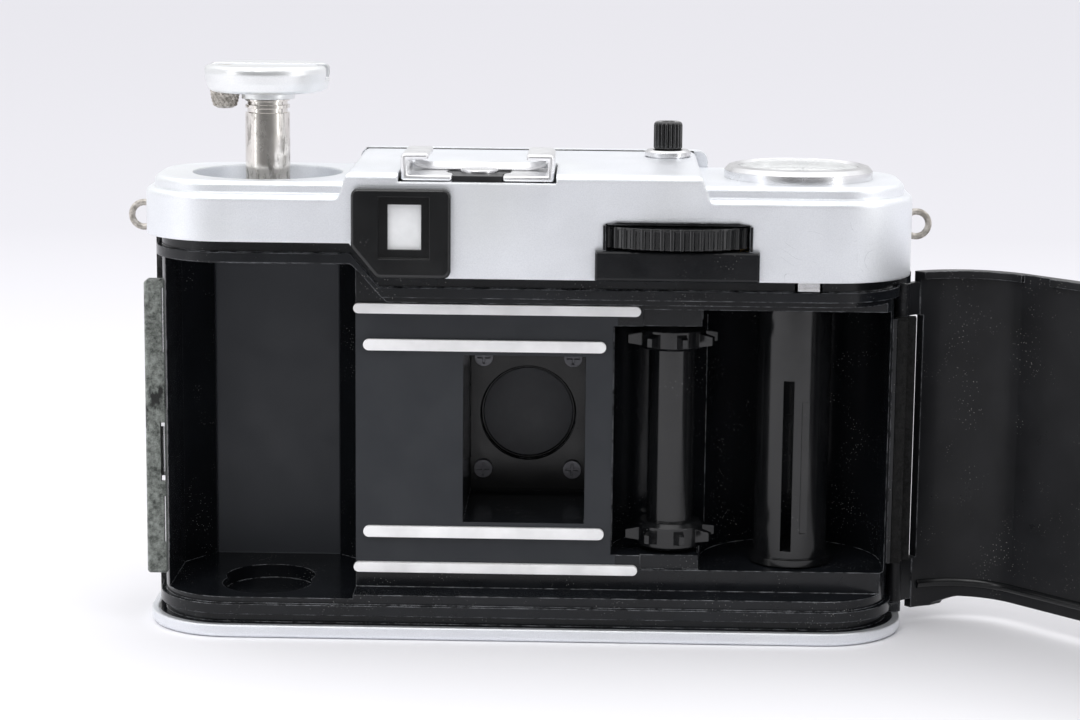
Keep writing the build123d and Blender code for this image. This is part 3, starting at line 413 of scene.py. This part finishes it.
def black_enamel(name="body_black", base=(0.0052, 0.0060, 0.0074), rough=0.20, dust=0.25, wear=0.42):
    """Black stove enamel with worn bright edges and dust."""
    material, shader, tree = new_material(name)
    shader.inputs["Specular IOR Level"].default_value = 0.30
    color = paint(tree, shader, base, tuple(1.6 * c for c in base), 9.0, rough, 0.07)
    rounded = round_edges(tree, shader, 0.22)
    worn = math_node(
        tree,
        "MULTIPLY",
        edge_mask(tree, rounded),
        span(tree, noise(tree, 2.2, 4.0, 0.7, offset=2.0), wear, wear + 0.19),
    )
    color = mix_color(tree, worn, color, (0.30, 0.31, 0.33))
    add_dust(tree, shader, color, (0.42, 0.41, 0.39), 0.42, dust)
    add_bump(tree, shader, noise(tree, 0.3, 2.0, 0.5), 0.006, 0.5)
    return material


def chassis_black():
    """The die casting: gloss enamel, satin where film runs and on the chamber's wall, foam by the hinge. The
    chamber's back wall is also painted a lighter grey, as painted light falling deep into the chamber.
    """
    material = black_enamel("chassis_black", dust=0.42)
    tree = material.node_tree
    shader = tree.nodes["Principled BSDF"]
    gloss_color = shader.inputs["Base Color"].links[0].from_socket
    gloss_rough = shader.inputs["Roughness"].links[0].from_socket
    film_plane = region(tree, (-13.0, 8.25, 9.0), (24.4, 8.55, 47.0))
    chamber_wall = region(tree, (27.9, -13.2, 5.0), (46.6, -12.8, 53.0), 0.15)
    satin = math_node(tree, "MAXIMUM", film_plane, chamber_wall)
    foam = region(tree, (None, 0.0, 9.4), (-52.4, 4.7, 44.9))
    grain = noise(tree, 5.0, 3.0)
    patches = span(tree, grain, 0.35, 0.65)
    satin_and_painted_light_color = mix_color(tree, patches, (0.021, 0.0235, 0.028), (0.026, 0.0285, 0.033))
    # Painted light: the cartridge chamber's back wall is painted a lighter grey than the film plane, as if
    # light reached deep into the chamber.
    satin_and_painted_light_color = mix_color(tree, chamber_wall, satin_and_painted_light_color, (0.054, 0.058, 0.067))
    color = mix_color(tree, satin, gloss_color, satin_and_painted_light_color)
    rough = math_node(tree, "ADD", gloss_rough, math_node(tree, "MULTIPLY", satin, 0.22))
    crumbs = noise(tree, 0.7, 6.0, 0.75)
    ragged = span(tree, crumbs, 0.40, 0.66)
    foam_color = mix_color(tree, ragged, (0.003, 0.003, 0.003), (0.015, 0.015, 0.015))
    color = mix_color(tree, foam, color, foam_color)
    tree.links.new(color, shader.inputs["Base Color"])
    rough = math_node(tree, "ADD", rough, math_node(tree, "MULTIPLY", foam, 0.6))
    tree.links.new(rough, shader.inputs["Roughness"])
    add_bump(tree, shader, math_node(tree, "MULTIPLY", crumbs, foam), 0.4, 1.0)
    return material


def gloss_black(name="gloss_black", rough=0.12, shine=0.5):
    """Moulded black plastic with a polished skin."""
    material, shader, tree = new_material(name)
    shader.inputs["Specular IOR Level"].default_value = shine
    color = paint(tree, shader, (0.004, 0.0044, 0.005), (0.008, 0.0084, 0.009), 6.0, rough, 0.04)
    round_edges(tree, shader, 0.15)
    add_dust(tree, shader, color, (0.30, 0.30, 0.30), 0.6, 0.1)
    add_bump(tree, shader, noise(tree, 2.5, 2.0, 0.5), 0.006, 0.5)
    return material


def black_plastic(name="black_plastic", rough=0.36):
    """Moulded black plastic with a fine texture."""
    material, shader, tree = new_material(name)
    shader.inputs["Specular IOR Level"].default_value = 0.35
    color = paint(tree, shader, (0.012, 0.012, 0.013), (0.020, 0.020, 0.021), 5.0, rough, 0.07)
    round_edges(tree, shader, 0.12)
    add_dust(tree, shader, color, (0.35, 0.34, 0.33), 0.4, 0.2)
    add_bump(tree, shader, noise(tree, 0.12, 2.0, 0.6), 0.01, 0.5)
    return material


def black_anodised():
    """Black anodised aluminium, turned, with fine rings of reflection."""
    material, shader, tree = new_material("ring_black")
    shader.inputs["Metallic"].default_value = 0.4
    paint(tree, shader, (0.014, 0.014, 0.016), (0.024, 0.024, 0.026), 4.0, 0.32, 0.06)
    round_edges(tree, shader, 0.12)
    add_bump(tree, shader, noise(tree, 0.1, 2.0, 0.6), 0.008, 0.5)
    return material


def leatherette_cover():
    """Black grained leathercloth: rounded cells with creases between them."""
    material, shader, tree = new_material("leatherette")
    color = paint(tree, shader, (0.016, 0.016, 0.017), (0.030, 0.030, 0.031), 7.0, 0.52, 0.08)
    cells = tree.nodes.new("ShaderNodeTexVoronoi")
    cells.feature = "DISTANCE_TO_EDGE"
    cells.inputs["Scale"].default_value = 1.0 / (0.85 * MM)
    tree.links.new(object_coordinates(tree), cells.inputs["Vector"])
    pillows = span(tree, cells.outputs["Distance"], 0.0, 0.32)
    # Painted shade: the creases between the cells are painted darker.
    color = mix_color(tree, pillows, (0.006, 0.006, 0.006), color)
    tree.links.new(color, shader.inputs["Base Color"])
    round_edges(tree, shader, 0.15)
    add_bump(tree, shader, pillows, 0.14, 1.0)
    add_bump(tree, shader, noise(tree, 0.25, 3.0, 0.6), 0.03, 0.5)
    return material


def clear_glass():
    """Clear moulded window with faint smears, thin enough to let light straight through."""
    cover = 0.16
    material, shader, tree = new_material("clear_glass")
    shader.inputs["Base Color"].default_value = (0.93, 0.95, 0.95, 1)
    shader.inputs["Specular IOR Level"].default_value = 0.9
    smears = noise(tree, 2.5, 4.0, 0.6)
    tree.links.new(span(tree, smears, 0.35, 0.75, 0.03, 0.12), shader.inputs["Roughness"])
    # Painted reflection: towards a slanting view the window turns more opaque and shows its pale base colour,
    # for glass reflecting more at a slant.
    rim = tree.nodes.new("ShaderNodeLayerWeight")
    rim.inputs["Blend"].default_value = 0.35
    haze = span(tree, smears, 0.3, 0.7, cover * 0.8, cover * 1.4)
    edge = span(tree, rim.outputs["Facing"], 0.3, 1.0, 0.0, 0.75)
    tree.links.new(math_node(tree, "MAXIMUM", edge, haze), shader.inputs["Alpha"])
    add_bump(tree, shader, noise(tree, 6.0, 1.0), 0.004, 0.4)
    return material


def coated_glass():
    """Lens glass with a dim violet coating over a dark barrel."""
    material, shader, tree = new_material("coated_glass")
    shader.inputs["Coat Weight"].default_value = 1.0
    shader.inputs["Coat Roughness"].default_value = 0.02
    shader.inputs["Coat Tint"].default_value = (0.75, 0.7, 1.0, 1)
    shader.inputs["Specular IOR Level"].default_value = 0.8
    blush = noise(tree, 6.0, 2.0)
    color = mix_color(tree, span(tree, blush, 0.35, 0.65), (0.012, 0.010, 0.022), (0.022, 0.014, 0.030))
    tree.links.new(color, shader.inputs["Base Color"])
    tree.links.new(span(tree, noise(tree, 1.5, 3.0), 0.4, 0.8, 0.04, 0.12), shader.inputs["Roughness"])
    return material


def door_black():
    """Inside of the door: smooth satin paint with a few specks and rubbed edges."""
    material = black_enamel("door_black", (0.0075, 0.0078, 0.0088), 0.34, 0.36, 0.40)
    material.node_tree.nodes["Principled BSDF"].inputs["Specular IOR Level"].default_value = 0.22
    return material


def rear_glass():
    """Rear lens glass with a closed shutter behind it: an even dark grey with a soft sheen."""
    material, shader, tree = new_material("rear_glass")
    haze = noise(tree, 3.0, 3.0)
    color = mix_color(tree, span(tree, haze, 0.35, 0.65), (0.115, 0.118, 0.126), (0.13, 0.133, 0.142))
    add_dust(tree, shader, color, (0.20, 0.20, 0.20), 0.3, 0.1)
    shader.inputs["Specular IOR Level"].default_value = 0.3
    tree.links.new(span(tree, noise(tree, 1.2, 3.0), 0.4, 0.8, 0.50, 0.60), shader.inputs["Roughness"])
    add_bump(tree, shader, noise(tree, 4.0, 1.0), 0.01, 0.4)
    return material


def felt_residue():
    """Black enamel under a worn, grey green strip of perished light seal."""
    material, shader, tree = new_material("felt_residue")
    fluff = noise(tree, 0.9, 6.0, 0.75)
    color = mix_color(tree, span(tree, fluff, 0.36, 0.62), (0.055, 0.062, 0.055), (0.31, 0.335, 0.31))
    gaps = noise(tree, 3.5, 4.0, 0.7, (1, 1, 0.5), 4.0)
    color = mix_color(tree, span(tree, gaps, 0.60, 0.68), color, (0.016, 0.017, 0.016))
    tree.links.new(color, shader.inputs["Base Color"])
    shader.inputs["Roughness"].default_value = 0.85
    shader.inputs["Sheen Weight"].default_value = 0.3
    add_bump(tree, shader, fluff, 0.25, 0.8)
    add_bump(tree, shader, noise(tree, 0.22, 3.0, 0.7), 0.08, 0.7)
    return material


def selenium_plate():
    """Dark bronze grey light cell."""
    material, shader, tree = new_material("selenium")
    shader.inputs["Metallic"].default_value = 0.3
    paint(tree, shader, (0.055, 0.045, 0.040), (0.085, 0.075, 0.07), 1.2, 0.45, 0.1)
    add_bump(tree, shader, noise(tree, 0.3, 2.0), 0.01, 0.5)
    return material


def brass_metal():
    material, shader, tree = new_material("brass")
    shader.inputs["Metallic"].default_value = 1.0
    paint(tree, shader, (0.75, 0.55, 0.25), (0.55, 0.40, 0.18), 3.0, 0.32, 0.08)
    add_bump(tree, shader, noise(tree, 0.15, 2.0), 0.008, 0.5)
    return material


def dial_enamel():
    material, shader, tree = new_material("dial_white")
    paint(tree, shader, (0.78, 0.78, 0.77), (0.70, 0.70, 0.69), 4.0, 0.4, 0.05)
    add_bump(tree, shader, noise(tree, 0.3, 2.0), 0.004, 0.4)
    return material


def make_materials():
    return {
        "body_black": black_enamel(),
        "bright_steel": bright_metal(),
        "satin_chrome": satin_chrome(),
        "black_plastic": black_plastic(),
        "gloss_black": gloss_black(),
        "clear_glass": clear_glass(),
        "coated_glass": coated_glass(),
        "leatherette": leatherette_cover(),
        "ring_black": black_anodised(),
        "selenium": selenium_plate(),
        "tarnished_steel": tarnished_metal(),
        "brass": brass_metal(),
        "dial_white": dial_enamel(),
        "polished_nickel": scuffed_nickel(),
        "finder_glass": finder_glass(),
        "rear_glass": rear_glass(),
        "felt_residue": felt_residue(),
        "rail_steel": rail_steel(),
        "screw_black": bright_metal("screw_black", (0.13, 0.13, 0.14), 0.35),
        "spool_black": gloss_black("spool_black", 0.15, 0.5),
        "knob_chrome": satin_chrome("knob_chrome", (0.88, 0.89, 0.90), 0.33),
        "lug_steel": tarnished_metal("lug_steel"),
        "housing_black": black_enamel("housing_black", (0.0045, 0.005, 0.006), 0.17, 0.30, 0.36),
        "chassis_black": chassis_black(),
        "door_black": door_black(),
        "button_black": gloss_black("button_black", 0.14, 0.7),
        "wheel_black": gloss_black("wheel_black", 0.16, 0.7),
        "shoe_steel": bright_metal("shoe_steel", (0.92, 0.92, 0.93), 0.34),
        "dial_ink": black_plastic("dial_ink", 0.5),
        "bead_black": gloss_black("bead_black", 0.22, 0.35),
    }


NODE_FINISHES = {
    "eyepiece_lens": "finder_glass",
    "latch_plate": "felt_residue",
    "film_rails": "rail_steel",
    "wheel_housing": "housing_black",
    "thumbwheel": "wheel_black",
    "spool": "spool_black",
    "sprocket": "spool_black",
    "rewind_knob": "knob_chrome",
    "strap_lugs": "lug_steel",
    "chassis": "chassis_black",
    "back_door": "door_black",
    "lens_mount_plate": "bead_black",
    "lens_plate_screws": "screw_black",
    "wind_gear": "ring_black",
}


def dress_nodes(materials):
    """Every CAD node takes the material of its record slot, unless NODE_FINISHES gives it another finish."""
    for part in frame["record"]["subparts"]:
        mesh = nodes[part["node"]].data
        mesh.materials.clear()
        finish = NODE_FINISHES.get(part["node"], part["material_slot"])
        mesh.materials.append(materials[finish])


# ------------------------------------------------------------------ pieces made here


BOX_FACES = ((0, 3, 2, 1), (4, 5, 6, 7), (0, 1, 5, 4), (1, 2, 6, 5), (2, 3, 7, 6), (3, 0, 4, 7))


def make_piece(name, vertices, faces, material, body, replaced=(), crease=35):
    """Mesh from millimetre vertices, riding on a body, smooth where it turns by less than crease degrees."""
    mesh = bpy.data.meshes.new(name)
    mesh.from_pydata([Vector(vertex) * MM for vertex in vertices], [], faces)
    finish_mesh(mesh, material, crease)
    return place_piece(name, mesh, body, replaced)


def finish_mesh(mesh, material, crease=35):
    """Outward normals, smooth shading up to the crease angle, and one material."""
    editable = bmesh.new()
    editable.from_mesh(mesh)
    bmesh.ops.recalc_face_normals(editable, faces=editable.faces)
    editable.to_mesh(mesh)
    editable.free()
    for polygon in mesh.polygons:
        polygon.use_smooth = True
    mesh.set_sharp_from_angle(angle=math.radians(crease))
    mesh.materials.clear()
    mesh.materials.append(material)


def place_piece(name, mesh, body, replaced=()):
    """Object that rides on a body and stands in for the replaced CAD nodes."""
    piece = bpy.data.objects.new(name, mesh)
    bpy.context.scene.collection.objects.link(piece)
    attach(piece, body)
    if replaced:
        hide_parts(*replaced)
    return piece


def turned_mesh(profile, centre, segments, relief=None):
    """Closed body turned about an upright axis, cut back by relief(angle, radius, height)."""
    vertices = []
    faces = []
    for radius, height in profile:
        for number in range(segments):
            angle = 2 * math.pi * number / segments
            depth = relief(angle, radius, height) if relief else 0.0
            reach = max(radius - depth, 0.0)
            x = centre[0] + reach * math.cos(angle)
            y = centre[1] + reach * math.sin(angle)
            vertices.append((x, y, height))
    for ring in range(len(profile) - 1):
        for number in range(segments):
            following = (number + 1) % segments
            first = ring * segments
            second = first + segments
            faces.append((first + number, first + following, second + following, second + number))
    faces.append(tuple(range(segments)))
    faces.append(tuple((len(profile) - 1) * segments + number for number in range(segments)))
    return vertices, faces


def node_centre(node):
    """X and Y of a node's middle, in millimetres."""
    low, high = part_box(node)
    middle = (low + high) / 2 / MM
    return middle.x, middle.y


def node_heights(node):
    """A node's lowest and highest Z, in millimetres."""
    low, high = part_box(node)
    return low.z / MM, high.z / MM


def make_shutter_button(materials):
    """Release button with fluted sides, a dished top and a cable release socket."""
    centre = node_centre("shutter_button")
    low, top = node_heights("shutter_button")
    flutes = 20
    flute_depth = 0.30
    flute_foot = low + 6.7

    def fluting(angle, radius, height):
        if radius < 1.9 or not flute_foot < height < top - 0.3:
            return 0.0
        return flute_depth * (1.0 - abs(math.sin(flutes * angle / 2)) ** 0.6)

    profile = [(1.6, low), (1.85, low), (1.85, top - 4.0), (2.0, top - 3.85), (2.08, top - 3.7)]
    profile += [(2.08, top - 3.7 + 0.35 * step) for step in range(1, 10)]
    profile += [(2.04, top - 0.38), (1.95, top - 0.2), (1.8, top - 0.06), (1.6, top), (1.1, top - 0.05)]
    profile += [(0.95, top - 0.08), (0.88, top - 0.2), (0.85, top - 1.0), (0.4, top - 1.1)]
    vertices, faces = turned_mesh(profile, centre, flutes * 8, fluting)
    make_piece(
        "release_button", vertices, faces, materials["button_black"], "release",
        ["shutter_button"], 28,
    )


def make_crank_grip(materials):
    """Small knurled grip under the crank lever."""
    centre = node_centre("crank_grip")
    low, top = node_heights("crank_grip")
    starts = 18
    knurl_depth = 0.20
    twist_per_mm = 3.4

    def knurl(angle, radius, height):
        if radius < 1.72 or height > top - 1.7:
            return 0.0
        twist = twist_per_mm * (height - low)
        turn = starts * angle / 2
        ridges = abs(math.sin(turn + twist)) * abs(math.sin(turn - twist))
        return knurl_depth * (1.0 - ridges) - 0.02

    # (height above the foot, radius) points of the knurled body, then its neck and pin
    shape = [(0, 1.0), (0.35, 1.7), (1.25, 1.95), (2.65, 2.16), (4.4, 2.16)]
    profile = [(0.5, low), (0.9, low)]
    for step in range(45):
        rise = 0.1 * step
        for (start, near), (end, far) in zip(shape, shape[1:]):
            if start <= rise <= end:
                profile.append((near + (far - near) * (rise - start) / (end - start), low + rise))
                break
    neck = top - 1.68
    profile += [(2.0, neck + 0.02), (0.84, neck + 0.04), (0.84, top - 0.42)]
    profile += [(1.18, top - 0.40), (1.18, top - 0.05), (1.0, top)]
    vertices, faces = turned_mesh(profile, centre, starts * 10, knurl)
    make_piece(
        "knurled_grip", vertices, faces, materials["tarnished_steel"], "crank_grip",
        ["crank_grip"],
    )


def soften(node, piece_name, body, material, width):
    """Stand-in for a CAD node with its sharp edges rolled over by width millimetres."""
    editable = bmesh.new()
    editable.from_mesh(nodes[node].data)
    bmesh.ops.remove_doubles(editable, verts=editable.verts, dist=WELD)
    flat = math.radians(1.0)
    bmesh.ops.dissolve_limit(editable, angle_limit=flat, verts=editable.verts, edges=editable.edges)
    sharp = [
        edge
        for edge in editable.edges
        if len(edge.link_faces) == 2 and edge.calc_face_angle() > math.radians(40)
    ]
    bmesh.ops.bevel(
        editable, geom=sharp, offset=width * MM, offset_type="OFFSET", segments=3, profile=0.5,
        affect="EDGES", clamp_overlap=True,
    )
    mesh = bpy.data.meshes.new(piece_name)
    editable.to_mesh(mesh)
    editable.free()
    finish_mesh(mesh, material, 50)
    return place_piece(piece_name, mesh, body, [node])


def make_rear_glass(materials):
    """Smoothly domed rear lens in its black cell."""
    low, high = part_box("rear_lens")
    centre_x = (low.x + high.x) / 2 / MM
    centre_z = (low.z + high.z) / 2 / MM
    back = high.y / MM
    front = low.y / MM
    sphere = 34.0
    cell_inner = 6.6
    cell_outer = 7.0

    def on_axis(vertices):
        return [(centre_x + x, height, centre_z + y) for x, y, height in vertices]

    glass_radius = 6.55
    profile = [(0.0, front + 0.2), (glass_radius, front + 0.2)]
    for step in range(12, -1, -1):
        radius = glass_radius * step / 12
        sag = sphere - math.sqrt(sphere ** 2 - radius ** 2)
        profile.append((radius, back - 0.35 - sag))
    vertices, faces = turned_mesh(profile, (0, 0), 72)
    make_piece(
        "rear_glass_dome", on_axis(vertices), faces, materials["rear_glass"], "camera_body",
        ["rear_lens"],
    )

    section = [(cell_inner, front), (cell_outer, front), (cell_outer, back - 0.9), (6.85, back - 0.72)]
    section += [(6.68, back - 0.75), (cell_inner, back - 1.0)]
    vertices, faces = turned_mesh(section + section[:1], (0, 0), 72)
    walls = faces[:-2]
    black = materials["bead_black"]
    make_piece("rear_lens_cell", on_axis(vertices), walls, black, "camera_body")


def make_gasket(materials):
    """Strip round the front bezel, its upper corners cut to the slope of the cover's raised middle."""
    editable = bmesh.new()
    editable.from_mesh(nodes["bezel_gasket"].data)
    bmesh.ops.remove_doubles(editable, verts=editable.verts, dist=WELD)
    slope_foot_z = 62.6
    for foot_x, side in ((-25.0, -1), (25.2, 1)):
        plane_point = Vector((foot_x, 0, slope_foot_z)) * MM
        outward = Vector((side * 7.4, 0, 2.3)).normalized()
        geometry = editable.verts[:] + editable.edges[:] + editable.faces[:]
        bmesh.ops.bisect_plane(editable, geom=geometry, plane_co=plane_point, plane_no=outward)
        beyond = [
            vertex
            for vertex in editable.verts
            if (vertex.co - plane_point).dot(outward) > 1e-6 and vertex.co.z > (slope_foot_z + 0.01) * MM
        ]
        for vertex in beyond:
            vertex.co.x -= (vertex.co - plane_point).dot(outward) / outward.x
    mesh = bpy.data.meshes.new("bezel_seal")
    editable.to_mesh(mesh)
    editable.free()
    finish_mesh(mesh, materials["black_plastic"])
    place_piece("bezel_seal", mesh, "camera_body", ["bezel_gasket"])


def make_shoe_spring(materials):
    """Spring plate on the floor of the accessory shoe, with a serrated front edge and turned up sides."""
    low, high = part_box("accessory_shoe")
    left = low.x / MM + 1.35
    right = high.x / MM - 1.35
    front = low.y / MM + 0.8
    floor = low.z / MM + 0.93
    thickness = 0.14
    vertices = []
    faces = []
    columns = 60
    for number in range(columns + 1):
        x = left + (right - left) * number / columns
        edge = min(x - left, right - x)
        rise = 0.55 * max(0.0, 1.0 - edge / 2.6) ** 2
        tooth = 0.16 * abs(math.sin(math.pi * number / 2))
        profile = ((front - tooth, 0.62), (front + 0.35, 0.66), (front + 1.0, 0.12), (front + 3.4, 0.03))
        for y, height in profile:
            for lift in (0.0, thickness):
                vertices.append((x, y, floor + height + rise + lift))
    for number in range(columns):
        for row in range(3):
            for layer in (0, 1):
                first = number * 8 + row * 2 + layer
                faces.append((first, first + 2, first + 10, first + 8))
        for row in (0, 3):
            first = number * 8 + row * 2
            faces.append((first, first + 1, first + 9, first + 8))
    for number in (0, columns):
        for row in range(3):
            first = number * 8 + row * 2
            faces.append((first, first + 1, first + 3, first + 2))
    make_piece("shoe_spring", vertices, faces, materials["shoe_steel"], "camera_body")


def make_counter_face(materials):
    """Scale of the frame counter: marks every two frames, long ones every ten, numbers every twenty."""
    centre = node_centre("counter_dial")
    low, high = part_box("counter_dial")
    radius = (high.x - low.x) / 2 / MM
    level = high.z / MM + 0.01
    frames = 72
    sweep = 340

    def frame_angle(number):
        return math.radians(90 - sweep * number / frames)

    vertices = []
    faces = []
    for number in range(0, frames, 2):
        angle = frame_angle(number)
        long_mark = number % 10 == 0
        inner = radius - (1.7 if long_mark else 0.9)
        outer = radius - 0.3
        half = 0.14 if long_mark else 0.09
        along = Vector((math.cos(angle), math.sin(angle), 0))
        across = Vector((-along.y, along.x, 0))
        base = Vector((centre[0], centre[1], level))
        corners = [(inner, -half), (outer, -half), (outer, half), (inner, half)]
        start = len(vertices)
        for rise in (0.0, 0.015):
            for reach, side in corners:
                vertices.append(base + along * reach + across * side + Vector((0, 0, rise)))
        faces += [tuple(start + index for index in face) for face in BOX_FACES]
    make_piece("counter_marks", vertices, faces, materials["dial_ink"], "counter")
    for number in range(0, frames, 20):
        angle = frame_angle(number)
        text = bpy.data.curves.new(f"counter_number_{number}", "FONT")
        text.body = str(number)
        text.size = 2.1 * MM
        text.align_x = "CENTER"
        text.align_y = "CENTER"
        text.extrude = 0.008 * MM
        text.resolution_u = 3
        label = bpy.data.objects.new(f"counter_number_{number}", text)
        reach = radius - 3.1
        x = centre[0] + reach * math.cos(angle)
        y = centre[1] + reach * math.sin(angle)
        place = Vector((x, y, level + 0.01))
        label.matrix_world = Matrix.Translation(place * MM) @ Matrix.Rotation(angle - math.pi / 2, 4, "Z")
        bpy.context.scene.collection.objects.link(label)
        bpy.context.view_layer.update()
        mesh = bpy.data.meshes.new_from_object(label)
        mesh.transform(label.matrix_world)
        bpy.data.objects.remove(label)
        finish_mesh(mesh, materials["dial_ink"])
        place_piece(f"counter_numeral_{number}", mesh, "counter")


# The door's own coordinates: the closed camera's, turned open about the hinge
DOOR_ANGLE = math.radians(132)
HINGE = Vector((-53.3, 2.0))
BODY_HALF_WIDTH = 53.75
BODY_MIDDLE_X = -0.2
BODY_HALF_DEPTH = 15.5
CORNER_RADIUS = 12.0
DOOR_SKIN = 1.2


def door_point(x, y, z):
    """A point of the closed door, turned open with it."""
    offset = Vector((x, y)) - HINGE
    cosine = math.cos(DOOR_ANGLE)
    sine = math.sin(DOOR_ANGLE)
    return (
        HINGE.x + cosine * offset.x - sine * offset.y,
        HINGE.y + sine * offset.x + cosine * offset.y,
        z,
    )


def door_path(inset, side_y):
    """Points and outward directions along the door's plan, from the hinge side to the latch side."""
    radius = CORNER_RADIUS - inset
    centre_y = BODY_HALF_DEPTH - CORNER_RADIUS
    reach = BODY_HALF_WIDTH - CORNER_RADIUS
    start = math.asin(min(max((side_y - centre_y) / radius, 0.0), 1.0))
    path = []
    steps = 14
    for number in range(steps + 1):
        angle = math.pi - start - (math.pi / 2 - start) * number / steps
        path.append((BODY_MIDDLE_X - reach, angle))
    straight = 46
    for number in range(1, straight):
        path.append((BODY_MIDDLE_X - reach + 2 * reach * number / straight, math.pi / 2))
    for number in range(steps + 1):
        angle = math.pi / 2 - (math.pi / 2 - start) * number / steps
        path.append((BODY_MIDDLE_X + reach, angle))
    points = []
    for centre_x, angle in path:
        outward = (math.cos(angle), math.sin(angle))
        points.append((centre_x + radius * outward[0], centre_y + radius * outward[1], outward))
    return points


def swept_mesh(path, section):
    """Closed bar along a path; section(point) gives its (outward, height) corners there."""
    vertices = []
    for x, y, outward in path:
        for push, height in section(x):
            vertices.append(door_point(x + outward[0] * push, y + outward[1] * push, height))
    count = len(section(0.0))
    faces = [tuple(range(count)), tuple((len(path) - 1) * count + number for number in range(count))]
    for step in range(len(path) - 1):
        for number in range(count):
            following = (number + 1) % count
            first = step * count
            second = first + count
            faces.append((first + number, first + following, second + following, second + number))
    return vertices, faces


def make_door_trim(materials):
    """Leathercloth on the outside of the door, and the rolled bead along its lower edge inside."""

    def cloth_section(x):
        rise = min(max((x - 20.0) / 4.0, 0.0), 1.0)
        foot = 4.9
        top = 50.2 + 4.7 * rise
        return [(0.02, foot), (0.30, foot), (0.42, foot + 0.2), (0.42, top - 0.2), (0.30, top), (0.02, top)]

    vertices, faces = swept_mesh(door_path(0.0, 8.2), cloth_section)
    make_piece("door_leathercloth", vertices, faces, materials["leatherette"], "door")

    bead = []
    for number in range(9):
        angle = math.pi * number / 8
        bead.append((0.05 - 0.50 * math.sin(angle), 5.4 - 0.65 * math.cos(angle)))

    vertices, faces = swept_mesh(door_path(DOOR_SKIN, 5.9), lambda x: bead)
    make_piece("door_bead", vertices, faces, materials["bead_black"], "door")


def make_light_cell_window(materials):
    """Ring of small moulded lenses over the light cell."""
    low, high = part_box("selenium_window")
    centre_x = (low.x + high.x) / 2 / MM
    centre_z = (low.z + high.z) / 2 / MM
    inner = 12.65
    outer = (high.x - low.x) / 2 / MM - 0.02
    front = low.y / MM
    back = high.y / MM
    pitch = 1.5
    rings = 40
    spokes = 300
    dimple_depth = 0.22
    row_pitch = pitch * 0.866
    vertices = []
    faces = []

    def dome(x, z):
        row = round(z / row_pitch)
        best = pitch
        for near in (row - 1, row, row + 1):
            shift = 0.5 * pitch if near % 2 else 0.0
            column = round((x - shift) / pitch)
            best = min(best, math.hypot(x - column * pitch - shift, z - near * row_pitch))
        return 1.0 - min(best / (0.56 * pitch), 1.0) ** 2

    for ring in range(rings + 1):
        radius = inner + (outer - inner) * ring / rings
        rim = ring in (0, 1, rings - 1, rings)
        for spoke in range(spokes):
            angle = 2 * math.pi * spoke / spokes
            x = radius * math.cos(angle)
            z = radius * math.sin(angle)
            depth = 0.0 if rim else dimple_depth * (1.0 - dome(x, z))
            vertices.append((centre_x + x, front + depth, centre_z + z))
    for radius in (outer, inner):
        for spoke in range(spokes):
            angle = 2 * math.pi * spoke / spokes
            vertices.append((centre_x + radius * math.cos(angle), back, centre_z + radius * math.sin(angle)))
    order = list(range(rings + 3)) + [0]
    for first, second in zip(order, order[1:]):
        for spoke in range(spokes):
            following = (spoke + 1) % spokes
            near = first * spokes
            far = second * spokes
            faces.append((near + spoke, near + following, far + following, far + spoke))
    make_piece(
        "light_cell_window", vertices, faces, materials["clear_glass"], "camera_body",
        ["selenium_window"], 60,
    )


make_camera()
make_studio()
materials = make_materials()
dress_nodes(materials)
make_shutter_button(materials)
make_crank_grip(materials)
make_counter_face(materials)
make_door_trim(materials)
make_rear_glass(materials)
make_gasket(materials)
make_shoe_spring(materials)
make_light_cell_window(materials)
soften("accessory_shoe", "shoe_rounded", "camera_body", materials["shoe_steel"], 0.38)
